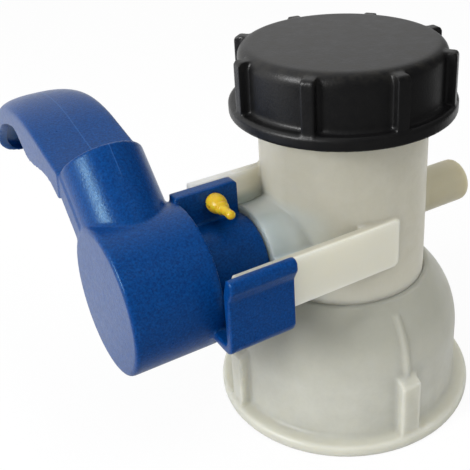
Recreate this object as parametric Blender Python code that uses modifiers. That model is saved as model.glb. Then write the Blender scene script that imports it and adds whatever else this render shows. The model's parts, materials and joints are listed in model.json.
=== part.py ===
"""Butterfly valve for the outlet of an intermediate bulk container, DN 50, shown closed.

Frame: metres, +Z up. The flow tube stands along Z and the coupling nut's rim lies on Z = 0. The stem lies
along X, its handle on the -X side. The handle opens by turning about +X, its top towards -Y.
"""

import math

import bmesh
import bpy
from mathutils import Matrix, Vector

# Assembly
CLEARANCE = 0.0003

# Flow tube, from the spigot below to the outlet above
BORE_RADIUS = 0.0250
TUBE_WALL = 0.0040
TUBE_TOP = 0.1295
SPIGOT_BOTTOM = 0.0195
COLLAR_WIDTH = 0.0065
COLLAR_BOTTOM = 0.0245

# Coupling nut
NUT_SWIVEL_CLEARANCE = 0.00035
NUT_THREAD_ROOM = 0.0015
NUT_WALL = 0.0048
NUT_CONE_BOTTOM = 0.0295
NUT_CONE_TOP = 0.0440
NUT_TOP = 0.0512
NUT_LIP = 0.0017
NUT_DOME_START = 0.0270
NUT_RIM_RADIUS = 0.0475
NUT_RIM_HEIGHT = 0.0045
NUT_RIB_COUNT = 4
NUT_RIB_WIDTH = 0.0075
NUT_RIB_REACH = 0.0040
NUT_RIB_TOP = 0.0250
NUT_FIRST_RIB = math.radians(-95)
GASKET_WIDTH = 0.0057
GASKET_HEIGHT = 0.0030

# Outlet cap
CAP_THREAD_ROOM = 0.0023
CAP_WALL = 0.0032
CAP_PLATE = 0.0030
CAP_HEIGHT = 0.0227
CAP_EDGE_RADIUS = 0.0045
CAP_RIM_REACH = 0.0038
CAP_RIM_HEIGHT = 0.0045
CAP_RIB_COUNT = 8
CAP_RIB_WIDTH = 0.0043
CAP_RIB_REACH = 0.0031
CAP_RIB_DROP = 0.0017
CAP_RIB_EDGE = 0.0030
CAP_FIRST_RIB = math.radians(-97)
CAP_GASKET_HEIGHT = 0.0016
CAP_GASKET_OVERHANG = 0.0005

# Stem housing: barrel on the handle side, blind boss on the other
BARREL_RADIUS = 0.0160
BARREL_REACH = 0.0095
BARREL_FLARE = 0.0008
BOSS_RADIUS = 0.0081
BOSS_REACH = 0.0248
BOSS_END_WALL = 0.0063
BOSS_EDGE = 0.0010

# Stem and what seals and carries it
STEM_RADIUS = 0.0080
STEM_RUNNING_CLEARANCE = 0.0005
SQUARE_SIDE = 0.0120
DISC_SQUARE_SIDE = 0.0100
SOCKET_FLOOR = 0.0055
COLLAR_STEP = 0.0025
STEM_COLLAR_LENGTH = 0.0018
GLAND_LENGTH = 0.0037
O_RING_SECTION = 0.0019
PIVOT_RADIUS = 0.0040
PIVOT_BUSH_WALL = 0.0011

# Disc and its seal
DISC_THICKNESS = 0.0052
DISC_RUNNING_CLEARANCE = 0.0008
SEAL_WIDTH = 0.0034
SEAL_THICKNESS = 0.0024
DISC_HUB_RADIUS = 0.0115
EYELET_RADIUS = 0.0100
DISC_PIN_RADIUS = 0.0015

# Handle: hub, ring, tab and hook
HUB_RADIUS = 0.0240
HUB_DEPTH = 0.0293
HUB_EDGE = 0.0021
HUB_WALL = 0.0035
HUB_FRONT_WALL = 0.0040
RING_RADIUS = 0.0137
RING_LENGTH = 0.0224
TAB_FRONT = 0.0049
TAB_THICKNESS = 0.0050
TAB_RISE = 0.0246
TAB_CORNER = 0.0025
TAB_INSET = 0.0004
HOOK_WALL = 0.0034
HOOK_SIDE_CLEARANCE = 0.0006
HOOK_FLOOR_ROOM = 0.0036
HOOK_OVER_WEB = 0.0030
HOOK_BEAD = 0.0024
HOOK_CORNER = 0.0046
HOOK_LENGTH = 0.0224
HOOK_FROM_RING_END = 0.0042
HOOK_LOWER_CORNER = 0.0045

# Handle: neck and lever
NECK_ANGLE = math.radians(43.5)
NECK_RADIUS = 0.0139
NECK_LENGTH = 0.0438
NECK_OFFSET = 0.0043
NECK_CORE_BELOW = 0.0047
NECK_CORE_ABOVE = 0.0033
LEVER_WALL = 0.0032
LEVER_RISE = math.radians(9.5)
LEVER_STRAIGHT = 0.0215
LEVER_BEND_RADIUS = 0.0850
LEVER_BEND = math.radians(28.5)
LEVER_CURL_RADIUS = 0.0310
LEVER_CURL = math.radians(56)
LEVER_CROWN_AT_NECK = 0.0012
LEVER_CROWN_AT_TIP = 0.0052
LEVER_TIP_CORNER = 0.0080
# Distance along the lever from the neck, and how deep the side flange is there
LEVER_FLANGES = ((0.000, 0.0098), (0.009, 0.0078), (0.033, 0.0123), (0.051, 0.0038))

# Fin behind the tab and web inside the hook, both on the body
FIN_THICKNESS = 0.0034
FIN_RISE = 0.0249
FIN_REACH = 0.0154
FIN_OVER_RING = 0.0015
WEB_THICKNESS = 0.0034
WEB_STANDOFF = 0.0016
WEB_BELOW = 0.0041
WEB_ABOVE = 0.0133
WEB_PAST_TUBE = 0.0015
WEB_HUB_GAP = 0.0007
WEB_CORNER = 0.0030
GUSSET_THICKNESS = 0.0030
GUSSET_RISE = 0.0020

# Locking pin in the tab
PIN_FROM_RING_END = 0.0098
PIN_RISE = 0.0205
PIN_SHANK_RADIUS = 0.0018
PIN_BULB_RADIUS = 0.0033
PIN_BULB_LENGTH = 0.0055
PIN_STEP_RADIUS = 0.0023
PIN_STEP_LENGTH = 0.0014
PIN_NIPPLE_RADIUS = 0.00165
PIN_NIPPLE_LENGTH = 0.0062
PIN_SLOT = 0.0008

# Facets
STEPS_LARGE = 48
STEPS_MEDIUM = 36
STEPS_SMALL = 20
ARC_STEPS = 6
BALL_STEPS = 18
WELD = 1e-6

# Places that follow from the sizes
SLIM = 2 * CLEARANCE
TUBE_RADIUS = BORE_RADIUS + TUBE_WALL
COLLAR_RADIUS = TUBE_RADIUS + COLLAR_WIDTH
STEM_HEIGHT = NUT_TOP + CLEARANCE + BARREL_FLARE + BARREL_RADIUS
BARREL_END = TUBE_RADIUS + BARREL_REACH
RING_END = BARREL_END + CLEARANCE
HUB_REAR = RING_END + RING_LENGTH
HUB_FACE = HUB_REAR + HUB_DEPTH
HUB_MIDDLE = (HUB_REAR + HUB_FACE) / 2
TAB_REAR = TAB_FRONT + TAB_THICKNESS
FIN_FRONT = TAB_REAR + CLEARANCE
WEB_OUTER = TUBE_RADIUS + WEB_STANDOFF
WEB_INNER = WEB_OUTER - WEB_THICKNESS
PIN_X = -(RING_END + PIN_FROM_RING_END)
PIN_Z = STEM_HEIGHT + PIN_RISE
PIN_HOLE_RADIUS = PIN_SHANK_RADIUS + CLEARANCE
CAP_INNER_RADIUS = TUBE_RADIUS + CAP_THREAD_ROOM
CAP_RADIUS = CAP_INNER_RADIUS + CAP_WALL
CAP_UNDERSIDE = TUBE_TOP + CAP_GASKET_HEIGHT + 2 * CLEARANCE
CAP_TOP = CAP_UNDERSIDE + CAP_PLATE
NUT_BORE_RADIUS = COLLAR_RADIUS + NUT_THREAD_ROOM
NUT_RADIUS = NUT_BORE_RADIUS + NUT_WALL
NUT_NECK_RADIUS = TUBE_RADIUS + NUT_SWIVEL_CLEARANCE
STEM_AXIS = Vector((0, 0, STEM_HEIGHT))
STEM_BORE_RADIUS = STEM_RADIUS + STEM_RUNNING_CLEARANCE
STEM_COLLAR_RADIUS = STEM_RADIUS + COLLAR_STEP
GLAND_BORE_RADIUS = STEM_COLLAR_RADIUS + STEM_RUNNING_CLEARANCE
PIVOT_BORE_RADIUS = PIVOT_RADIUS + PIVOT_BUSH_WALL + 2 * CLEARANCE
PIVOT_BORE_END = TUBE_RADIUS + BOSS_REACH - BOSS_END_WALL
SEAL_OUTER_RADIUS = BORE_RADIUS - CLEARANCE
SEAL_INNER_RADIUS = SEAL_OUTER_RADIUS - SEAL_WIDTH
DISC_CORE_RADIUS = SEAL_INNER_RADIUS - CLEARANCE
DISC_RADIUS = BORE_RADIUS - DISC_RUNNING_CLEARANCE

ALONG_X = Matrix.Translation(STEM_AXIS) @ Matrix.Rotation(math.radians(90), 4, "Y")
YZ_PLANE = Matrix(((0, 0, 1, 0), (1, 0, 0, 0), (0, 1, 0, STEM_HEIGHT), (0, 0, 0, 1)))
XZ_PLANE = Matrix(((1, 0, 0, 0), (0, 0, -1, 0), (0, 1, 0, STEM_HEIGHT), (0, 0, 0, 1)))


def clear_scene():
    for obj in list(bpy.data.objects):
        bpy.data.objects.remove(obj, do_unlink=True)


def make_material(name, colour, roughness, metallic=0.0):
    material = bpy.data.materials.new(name)
    material.use_nodes = True
    shader = material.node_tree.nodes["Principled BSDF"]
    shader.inputs["Base Color"].default_value = (*colour, 1)
    shader.inputs["Roughness"].default_value = roughness
    shader.inputs["Metallic"].default_value = metallic
    material.diffuse_color = (*colour, 1)
    return material


def add_object(name, mesh):
    obj = bpy.data.objects.new(name, mesh)
    bpy.context.scene.collection.objects.link(obj)
    return obj


def apply_modifiers(obj):
    """Puts the evaluated mesh in place of the object's own, welded and facing out."""
    bpy.context.view_layer.update()
    graph = bpy.context.evaluated_depsgraph_get()
    mesh = bpy.data.meshes.new_from_object(obj.evaluated_get(graph))
    obj.modifiers.clear()
    if obj.type == "MESH":
        obj.data = mesh
    else:
        matrix = obj.matrix_world.copy()
        name = obj.name
        bpy.data.objects.remove(obj, do_unlink=True)
        obj = add_object(name, mesh)
        obj.matrix_world = matrix
    shape = bmesh.new()
    shape.from_mesh(mesh)
    bmesh.ops.remove_doubles(shape, verts=shape.verts, dist=WELD)
    bmesh.ops.recalc_face_normals(shape, faces=shape.faces)
    shape.to_mesh(mesh)
    shape.free()
    return obj


def boolean(target, operation, tools):
    """Joins, cuts or intersects the target with each tool in turn, and removes the tools."""
    for tool in tools:
        modifier = target.modifiers.new(tool.name, "BOOLEAN")
        modifier.operation = operation
        modifier.solver = "EXACT"
        modifier.object = tool
        target = apply_modifiers(target)
        bpy.data.objects.remove(tool, do_unlink=True)
    return target


def union(target, *tools):
    return boolean(target, "UNION", tools)


def cut(target, *tools):
    return boolean(target, "DIFFERENCE", tools)


def intersect(target, *tools):
    return boolean(target, "INTERSECT", tools)


def box(name, low, high):
    shape = bmesh.new()
    size = Matrix.Diagonal((*(Vector(high) - Vector(low)), 1))
    middle = Matrix.Translation((Vector(high) + Vector(low)) / 2)
    bmesh.ops.create_cube(shape, size=1, matrix=middle @ size)
    mesh = bpy.data.meshes.new(name)
    shape.to_mesh(mesh)
    shape.free()
    return add_object(name, mesh)


def rod(name, radius, start, end, steps=STEPS_MEDIUM):
    """A cylinder between two points."""
    start, end = Vector(start), Vector(end)
    turn = (end - start).to_track_quat("Z", "Y").to_matrix().to_4x4()
    shape = bmesh.new()
    bmesh.ops.create_cone(
        shape,
        cap_ends=True,
        segments=steps,
        radius1=radius,
        radius2=radius,
        depth=(end - start).length,
        matrix=Matrix.Translation((start + end) / 2) @ turn,
    )
    mesh = bpy.data.meshes.new(name)
    shape.to_mesh(mesh)
    shape.free()
    return add_object(name, mesh)


def stem_rod(name, radius, start, end, steps=STEPS_MEDIUM):
    """A cylinder on the stem's axis, between two X values."""
    return rod(name, radius, (start, 0, STEM_HEIGHT), (end, 0, STEM_HEIGHT), steps)


def turned(name, profile, matrix=None, steps=STEPS_LARGE, ring=False):
    """A solid of revolution. The profile is (radius, height) down its outer side; a ring closes on itself."""
    count = len(profile)
    edges = [(index, index + 1) for index in range(count - 1)]
    if ring:
        edges.append((count - 1, 0))
    mesh = bpy.data.meshes.new(name)
    mesh.from_pydata([(radius, 0, height) for radius, height in profile], edges, [])
    obj = add_object(name, mesh)
    screw = obj.modifiers.new("Screw", "SCREW")
    screw.steps = screw.render_steps = steps
    screw.use_merge_vertices = True
    screw.merge_threshold = WELD
    obj = apply_modifiers(obj)
    obj.data.transform(matrix or Matrix.Identity(4))
    return obj


def arc(centre, radius, start, end, steps=ARC_STEPS):
    """Points from one angle to another, in degrees."""
    points = []
    for index in range(steps + 1):
        angle = math.radians(start + (end - start) * index / steps)
        points.append((centre[0] + radius * math.cos(angle), centre[1] + radius * math.sin(angle)))
    return points


def rounded(corners, steps=ARC_STEPS):
    """An outline from (u, v, radius) corners, each rounded by its own radius."""
    outline = []
    for index, (u, v, radius) in enumerate(corners):
        corner = Vector((u, v))
        if not radius:
            outline.append(tuple(corner))
            continue
        before = (Vector(corners[index - 1][:2]) - corner).normalized()
        after = (Vector(corners[(index + 1) % len(corners)][:2]) - corner).normalized()
        half = before.angle(after) / 2
        centre = corner + (before + after).normalized() * radius / math.sin(half)
        first = corner + before * radius / math.tan(half) - centre
        last = corner + after * radius / math.tan(half) - centre
        sweep = first.angle_signed(last)
        for step in range(steps + 1):
            turn = Matrix.Rotation(-sweep * step / steps, 2)
            outline.append(tuple(centre + turn @ first))
    return outline


def plate(name, outline, thickness, matrix):
    """A flat outline given half its thickness to each side of its plane."""
    curve = bpy.data.curves.new(name, "CURVE")
    curve.dimensions = "2D"
    curve.fill_mode = "BOTH"
    curve.extrude = thickness / 2
    spline = curve.splines.new("POLY")
    spline.points.add(len(outline) - 1)
    for point, (u, v) in zip(spline.points, outline):
        point.co = (u, v, 0, 1)
    spline.use_cyclic_u = True
    obj = apply_modifiers(add_object(name, curve))
    obj.data.transform(matrix)
    return obj


def plate_along_x(name, outline, start, end):
    """An outline of (Y, height over the stem) points, from one X value to another."""
    middle = Matrix.Translation(((start + end) / 2, 0, 0))
    return plate(name, outline, abs(end - start), middle @ YZ_PLANE)


def plate_along_y(name, outline, start, end):
    """An outline of (X, height over the stem) points, from one Y value to another."""
    middle = Matrix.Translation((0, (start + end) / 2, 0))
    return plate(name, outline, abs(end - start), middle @ XZ_PLANE)


def square_bar(name, side, start, end):
    half = side / 2
    low = (start, -half, STEM_HEIGHT - half)
    return box(name, low, (end, half, STEM_HEIGHT + half))


def ring_height(y):
    """How far the handle's ring rises over the stem's axis at a distance y from it."""
    return math.sqrt(max(RING_RADIUS**2 - y**2, 0))


def finish(obj, name, material, collection, origin=(0, 0, 0), sharp=35):
    """Names the piece, shades it, and puts its origin on its joint's axis."""
    origin = Vector(origin)
    obj.name = name
    obj.data.name = name
    obj.data.transform(Matrix.Translation(-origin))
    obj.location = origin
    obj.data.materials.clear()
    obj.data.materials.append(material)
    obj.data.shade_smooth()
    obj.data.set_sharp_from_angle(angle=math.radians(sharp))
    bpy.context.scene.collection.objects.unlink(obj)
    collection.objects.link(obj)
    return obj


def nut_cone_height(radius):
    """Height of the nut's inner cone at a radius."""
    slope = (NUT_CONE_TOP - NUT_CONE_BOTTOM) / (NUT_BORE_RADIUS - NUT_NECK_RADIUS)
    return NUT_CONE_TOP - slope * (radius - NUT_NECK_RADIUS)


def body_cone_height(radius):
    """The body's flare runs along the nut's cone, the swivel clearance inside it."""
    slope = (NUT_CONE_TOP - NUT_CONE_BOTTOM) / (NUT_BORE_RADIUS - NUT_NECK_RADIUS)
    return nut_cone_height(radius) - NUT_SWIVEL_CLEARANCE * math.hypot(1, slope)


def make_valve_body():
    tube = turned(
        "tube",
        [
            (0, TUBE_TOP),
            (TUBE_RADIUS, TUBE_TOP),
            (TUBE_RADIUS, body_cone_height(TUBE_RADIUS)),
            (COLLAR_RADIUS, body_cone_height(COLLAR_RADIUS)),
            (COLLAR_RADIUS, COLLAR_BOTTOM),
            (TUBE_RADIUS, COLLAR_BOTTOM),
            (TUBE_RADIUS, SPIGOT_BOTTOM),
            (0, SPIGOT_BOTTOM),
        ],
    )
    barrel = turned(
        "barrel",
        [
            (0, -BORE_RADIUS),
            (BARREL_RADIUS + BARREL_FLARE, -BORE_RADIUS),
            (BARREL_RADIUS + BARREL_FLARE, -TUBE_RADIUS),
            (BARREL_RADIUS + BARREL_FLARE / 4, -TUBE_RADIUS - BARREL_REACH / 4),
            (BARREL_RADIUS, -TUBE_RADIUS - BARREL_REACH / 2),
            (BARREL_RADIUS, -BARREL_END),
            (0, -BARREL_END),
        ],
        ALONG_X,
        STEPS_MEDIUM,
    )
    boss_end = TUBE_RADIUS + BOSS_REACH
    boss_edge = arc((BOSS_RADIUS - BOSS_EDGE, boss_end - BOSS_EDGE), BOSS_EDGE, 90, 0, 3)
    boss_profile = [(0, boss_end), *boss_edge, (BOSS_RADIUS, BORE_RADIUS), (0, BORE_RADIUS)]
    boss = turned("boss", boss_profile, ALONG_X, STEPS_SMALL)
    body = union(tube, barrel, boss, make_fin(), make_fin_root(), make_web(), make_gusset())
    stem_bore = stem_rod("stem_bore", STEM_BORE_RADIUS, -BARREL_END - WEB_CORNER, 0)
    gland_depth = GLAND_LENGTH + STEM_COLLAR_LENGTH + 3 * CLEARANCE
    gland_bore = stem_rod("gland_bore", GLAND_BORE_RADIUS, -BARREL_END - WEB_CORNER, -BARREL_END + gland_depth)
    pivot_bore = stem_rod("pivot_bore", PIVOT_BORE_RADIUS, 0, PIVOT_BORE_END, STEPS_SMALL)
    flow_bore = rod("flow_bore", BORE_RADIUS, (0, 0, 0), (0, 0, TUBE_TOP + CAP_PLATE), STEPS_LARGE)
    pin_hole = rod("pin_hole", PIN_HOLE_RADIUS, (PIN_X, 0, PIN_Z), (PIN_X, TUBE_RADIUS, PIN_Z), STEPS_SMALL)
    return cut(body, flow_bore, stem_bore, gland_bore, pivot_bore, pin_hole)


def make_fin():
    """The upright plate behind the tab, which runs over the ring to the tube."""
    left = -BARREL_END - FIN_REACH
    foot = ring_height(FIN_FRONT) + FIN_OVER_RING
    outline = [(left, foot), (0, foot), (0, FIN_RISE), (left, FIN_RISE)]
    return plate_along_y("fin", outline, FIN_FRONT, FIN_FRONT + FIN_THICKNESS)


def make_fin_root():
    """The part of the fin that stands on the barrel."""
    low = (-BARREL_END, FIN_FRONT, STEM_HEIGHT)
    high = (0, FIN_FRONT + FIN_THICKNESS, STEM_HEIGHT + FIN_RISE)
    return box("fin_root", low, high)


def make_web():
    """The upright plate that touches the tube's side and lies in the handle's hook."""
    left = -HUB_REAR + WEB_HUB_GAP
    outline = rounded(
        [
            (left, -WEB_BELOW, 0),
            (WEB_PAST_TUBE, -WEB_BELOW, WEB_CORNER),
            (WEB_PAST_TUBE, WEB_ABOVE, WEB_CORNER),
            (left, WEB_ABOVE, 0),
        ]
    )
    return plate_along_y("web", outline, -WEB_OUTER, -WEB_INNER)


def make_gusset():
    """The level plate that ties the web to the barrel."""
    low = (-BARREL_END, -WEB_INNER - WEB_THICKNESS / 2, STEM_HEIGHT + GUSSET_RISE)
    high = (0, 0, STEM_HEIGHT + GUSSET_RISE + GUSSET_THICKNESS)
    return box("gusset", low, high)


def make_coupling_nut():
    rise = NUT_TOP - NUT_DOME_START
    inset = NUT_RADIUS - NUT_NECK_RADIUS - NUT_LIP
    dome_radius = math.hypot(rise, inset) ** 2 / (2 * inset)
    dome_end = math.degrees(math.atan2(rise, dome_radius - inset))
    dome = arc((NUT_RADIUS - dome_radius, NUT_DOME_START), dome_radius, dome_end, 0, 8)
    nut = turned(
        "nut",
        [
            *dome,
            (NUT_RADIUS, NUT_RIM_HEIGHT),
            (NUT_RIM_RADIUS - NUT_RIM_HEIGHT / 4, NUT_RIM_HEIGHT),
            (NUT_RIM_RADIUS, NUT_RIM_HEIGHT * 3 / 4),
            (NUT_RIM_RADIUS, NUT_RIM_HEIGHT / 5),
            (NUT_RIM_RADIUS - NUT_RIM_HEIGHT / 5, 0),
            (NUT_BORE_RADIUS, 0),
            (NUT_BORE_RADIUS, NUT_CONE_BOTTOM),
            (NUT_NECK_RADIUS, NUT_CONE_TOP),
            (NUT_NECK_RADIUS, NUT_TOP),
        ],
        ring=True,
    )
    root = NUT_BORE_RADIUS + NUT_WALL / 2
    outline = [
        (root, NUT_RIM_HEIGHT / 2),
        (NUT_RADIUS + NUT_RIB_REACH, NUT_RIM_HEIGHT / 2),
        (NUT_RADIUS + NUT_RIB_REACH, NUT_RIB_TOP),
        (NUT_RADIUS, NUT_RIB_TOP + NUT_RIB_REACH),
        (root, NUT_RIB_TOP + NUT_RIB_REACH),
    ]
    return union(nut, *ribs_around(outline, NUT_RIB_WIDTH, NUT_RIB_COUNT, NUT_FIRST_RIB))


def ribs_around(outline, width, count, first):
    """Upright ribs about Z from a (radius, height) outline."""
    ribs = []
    upright = Matrix.Rotation(math.radians(90), 4, "X")
    for index in range(count):
        turn = Matrix.Rotation(first + index * math.tau / count, 4, "Z")
        ribs.append(plate(f"rib{index}", outline, width, turn @ upright))
    return ribs


def make_outlet_cap():
    rim_bottom = CAP_TOP - CAP_HEIGHT
    rim_top = rim_bottom + CAP_RIM_HEIGHT
    rim_radius = CAP_RADIUS + CAP_RIM_REACH
    edge_centre = (CAP_RADIUS - CAP_EDGE_RADIUS, CAP_TOP - CAP_EDGE_RADIUS)
    cap = turned(
        "cap",
        [
            (0, CAP_TOP),
            *arc(edge_centre, CAP_EDGE_RADIUS, 90, 0, 5),
            (CAP_RADIUS, rim_top),
            (rim_radius - CAP_RIM_HEIGHT / 5, rim_top),
            (rim_radius, rim_top - CAP_RIM_HEIGHT / 5),
            (rim_radius, rim_bottom),
            (CAP_INNER_RADIUS, rim_bottom),
            (CAP_INNER_RADIUS, CAP_UNDERSIDE),
            (0, CAP_UNDERSIDE),
        ],
    )
    root = CAP_RADIUS - CAP_WALL / 2
    rib_radius = CAP_RADIUS + CAP_RIB_REACH
    outline = rounded(
        [
            (root, rim_top - CAP_RIM_HEIGHT / 2, 0),
            (rib_radius, rim_top - CAP_RIM_HEIGHT / 2, 0),
            (rib_radius, CAP_TOP - CAP_RIB_DROP, CAP_RIB_EDGE),
            (root, CAP_TOP - CAP_RIB_DROP, 0),
        ],
        4,
    )
    return union(cap, *ribs_around(outline, CAP_RIB_WIDTH, CAP_RIB_COUNT, CAP_FIRST_RIB))


def flat_ring(name, inner, outer, bottom, height):
    top = bottom + height
    return turned(name, [(outer, top), (outer, bottom), (inner, bottom), (inner, top)], ring=True)


def stem_ring(name, inner, outer, start, end, steps=STEPS_MEDIUM):
    """A sleeve on the stem's axis, between two X values."""
    profile = [(outer, end), (outer, start), (inner, start), (inner, end)]
    return turned(name, profile, ALONG_X, steps, ring=True)


def o_ring_places():
    """X values of the two O-rings, spread over the bore between the stem's collar and the flow bore."""
    start = -BARREL_END + GLAND_LENGTH + STEM_COLLAR_LENGTH + 3 * CLEARANCE
    step = (-BORE_RADIUS - start) / 4
    return start + step, start + 3 * step


def make_stem():
    """Square at the handle, collar behind the gland, two grooves, square through the disc, pivot."""
    collar_start = -BARREL_END + GLAND_LENGTH + 2 * CLEARANCE
    collar_end = collar_start + STEM_COLLAR_LENGTH
    groove_floor = STEM_BORE_RADIUS - O_RING_SECTION - 2 * CLEARANCE
    groove_half = O_RING_SECTION / 2 + CLEARANCE
    profile = [(0, -DISC_CORE_RADIUS + CLEARANCE), (STEM_RADIUS, -DISC_CORE_RADIUS + CLEARANCE)]
    for middle in reversed(o_ring_places()):
        profile += [
            (STEM_RADIUS, middle + groove_half),
            (groove_floor, middle + groove_half),
            (groove_floor, middle - groove_half),
            (STEM_RADIUS, middle - groove_half),
        ]
    profile += [
        (STEM_RADIUS, collar_end),
        (STEM_COLLAR_RADIUS, collar_end),
        (STEM_COLLAR_RADIUS, collar_start),
        (STEM_RADIUS, collar_start),
        (STEM_RADIUS, -RING_END),
        (0, -RING_END),
    ]
    stem = turned("stem", profile, ALONG_X, STEPS_MEDIUM)
    stem_end = -HUB_FACE + SOCKET_FLOOR + SLIM
    square = square_bar("square", SQUARE_SIDE, stem_end, -BARREL_END)
    corner_radius = STEM_RADIUS - CLEARANCE
    square = intersect(square, stem_rod("corners", corner_radius, stem_end - SLIM, -BARREL_END + SLIM))
    square_end = SEAL_INNER_RADIUS - SEAL_WIDTH / 2
    disc_square = square_bar("disc_square", DISC_SQUARE_SIDE, -SEAL_INNER_RADIUS, square_end)
    pivot_end = PIVOT_BORE_END - SLIM
    pivot = stem_rod("pivot", PIVOT_RADIUS, square_end - SLIM, pivot_end, STEPS_SMALL)
    stem = union(stem, square, disc_square, pivot)
    return cut(stem, upright_rod("pin_hole", DISC_PIN_RADIUS + CLEARANCE, DISC_HUB_RADIUS, STEPS_SMALL))


def upright_rod(name, radius, reach, steps=STEPS_MEDIUM):
    """A cylinder along Z that reaches as far above the stem's axis as below it."""
    low = (0, 0, STEM_HEIGHT - reach)
    return rod(name, radius, low, (0, 0, STEM_HEIGHT + reach), steps)


def ball(name, radius):
    """A ball round the middle of the disc, with its poles on the stem's axis."""
    half_turn = [(radius * math.sin(a), radius * math.cos(a)) for a in ball_angles()]
    return turned(name, [(0, radius), *half_turn, (0, -radius)], ALONG_X, STEPS_MEDIUM)


def ball_angles():
    return [math.pi * index / BALL_STEPS for index in range(1, BALL_STEPS)]


def make_disc():
    """A core with a hub along the stem, and a cheek each side of the seal."""
    half = DISC_THICKNESS / 2
    groove = SEAL_THICKNESS / 2 + CLEARANCE
    middle = Matrix.Translation(STEM_AXIS)
    cheeks = turned(
        "cheeks",
        [
            (0, half),
            (DISC_RADIUS - groove / 2, half),
            (DISC_RADIUS, half - groove / 2),
            (DISC_RADIUS, groove),
            (DISC_CORE_RADIUS, groove),
            (DISC_CORE_RADIUS, -groove),
            (DISC_RADIUS, -groove),
            (DISC_RADIUS, groove / 2 - half),
            (DISC_RADIUS - groove / 2, -half),
            (0, -half),
        ],
        middle,
        STEPS_MEDIUM,
    )
    cheeks = cut(cheeks, stem_rod("eyelet_room", EYELET_RADIUS + CLEARANCE, -BORE_RADIUS, BORE_RADIUS))
    core = upright_rod("core", DISC_CORE_RADIUS, half + CLEARANCE)
    hub = stem_rod("hub", DISC_HUB_RADIUS, -BORE_RADIUS, BORE_RADIUS)
    hub = intersect(hub, upright_rod("hub_ends", DISC_CORE_RADIUS - CLEARANCE, BORE_RADIUS))
    disc = union(cheeks, core, hub)
    square_hole = square_bar("square_hole", DISC_SQUARE_SIDE + 2 * CLEARANCE, -BORE_RADIUS, BORE_RADIUS)
    pin_hole = upright_rod("pin_hole", DISC_PIN_RADIUS + CLEARANCE, BORE_RADIUS, STEPS_SMALL)
    stem_hole = stem_rod("stem_hole", STEM_RADIUS + CLEARANCE, -BORE_RADIUS, -DISC_CORE_RADIUS + 2 * SLIM)
    return cut(disc, square_hole, pin_hole, stem_hole)


def make_disc_seal():
    """A ring in the disc's groove that widens to an eyelet where the stem passes."""
    half = SEAL_THICKNESS / 2
    ring = upright_rod("ring", BORE_RADIUS, half)
    seal = union(ring, stem_rod("eyelets", EYELET_RADIUS, -BORE_RADIUS, BORE_RADIUS))
    seal = intersect(seal, ball("ball", SEAL_OUTER_RADIUS))
    core = upright_rod("core", SEAL_INNER_RADIUS, BORE_RADIUS)
    stem_hole = stem_rod("stem_hole", STEM_RADIUS + CLEARANCE, -BORE_RADIUS - SLIM, 0)
    pivot_hole = stem_rod("pivot_hole", PIVOT_RADIUS + CLEARANCE, 0, BORE_RADIUS + SLIM, STEPS_SMALL)
    return cut(seal, core, stem_hole, pivot_hole)


def make_o_ring(name, place):
    half = O_RING_SECTION / 2
    middle_radius = STEM_BORE_RADIUS - CLEARANCE - half
    section = arc((middle_radius, place), half, 90, -270, 8)[:-1]
    return turned(name, section, ALONG_X, STEPS_SMALL, ring=True)


def make_hub():
    """A cup that opens towards the tube, with the socket that carries on as the ring."""
    edge_centre = (HUB_RADIUS - HUB_EDGE, -HUB_FACE + HUB_EDGE)
    inner = HUB_RADIUS - HUB_WALL
    floor = -HUB_FACE + HUB_FRONT_WALL
    hub = turned(
        "hub",
        [
            (0, -RING_END),
            (RING_RADIUS, -RING_END),
            (RING_RADIUS, floor),
            (inner, floor),
            (inner, -HUB_REAR),
            (HUB_RADIUS, -HUB_REAR),
            *arc(edge_centre, HUB_EDGE, 0, -90, 4),
            (0, -HUB_FACE),
        ],
        ALONG_X,
        STEPS_LARGE,
    )
    return hub


def make_tab():
    left = -HUB_REAR - CLEARANCE
    right = -RING_END - TAB_INSET
    foot = SQUARE_SIDE / 2 + SLIM
    corners = [(left, foot, 0), (right, foot, 0), (right, TAB_RISE, TAB_CORNER), (left, TAB_RISE, 0)]
    return plate_along_y("tab", rounded(corners), TAB_FRONT, TAB_REAR)


def make_hook():
    """A J from the ring under the web and up its outer side, ending in a bead with a lead-in slope."""
    inner = -WEB_OUTER - HOOK_SIDE_CLEARANCE
    outer = inner - HOOK_WALL
    floor_top = -WEB_BELOW - HOOK_FLOOR_ROOM
    floor_bottom = floor_top - HOOK_WALL
    top = WEB_ABOVE + HOOK_OVER_WEB
    bead = outer - HOOK_BEAD
    start = -(SQUARE_SIDE / 2 + SLIM)
    outline = rounded(
        [
            (start, floor_top, 0),
            (start, floor_bottom, 0),
            (outer, floor_bottom, HOOK_CORNER),
            (outer, WEB_ABOVE - HOOK_CORNER, HOOK_CORNER / 2),
            (bead, WEB_ABOVE, HOOK_BEAD / 2),
            (bead, top, HOOK_BEAD / 2),
            (inner - HOOK_BEAD, top, HOOK_BEAD / 4),
            (inner, WEB_ABOVE - HOOK_BEAD, 0),
            (inner, floor_top, HOOK_WALL / 3),
        ],
        4,
    )
    right = -RING_END - HOOK_FROM_RING_END
    hook = plate_along_x("hook", outline, right - HOOK_LENGTH, right)
    clip_side = rounded(
        [
            (right - HOOK_LENGTH - HOOK_WALL, floor_bottom - HOOK_WALL, 0),
            (right, floor_bottom, HOOK_LOWER_CORNER),
            (right, top + HOOK_WALL, 0),
            (right - HOOK_LENGTH - HOOK_WALL, top + HOOK_WALL, 0),
        ]
    )
    return intersect(hook, plate_along_y("side", clip_side, bead - HOOK_WALL, 0))


def neck_point(along, bulge):
    """(Y, height over the stem) of a point of the neck: how far from the hub's axis, and how far to its top side."""
    y = along * math.cos(NECK_ANGLE) - bulge * math.sin(NECK_ANGLE)
    return y, along * math.sin(NECK_ANGLE) + bulge * math.cos(NECK_ANGLE)


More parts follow.
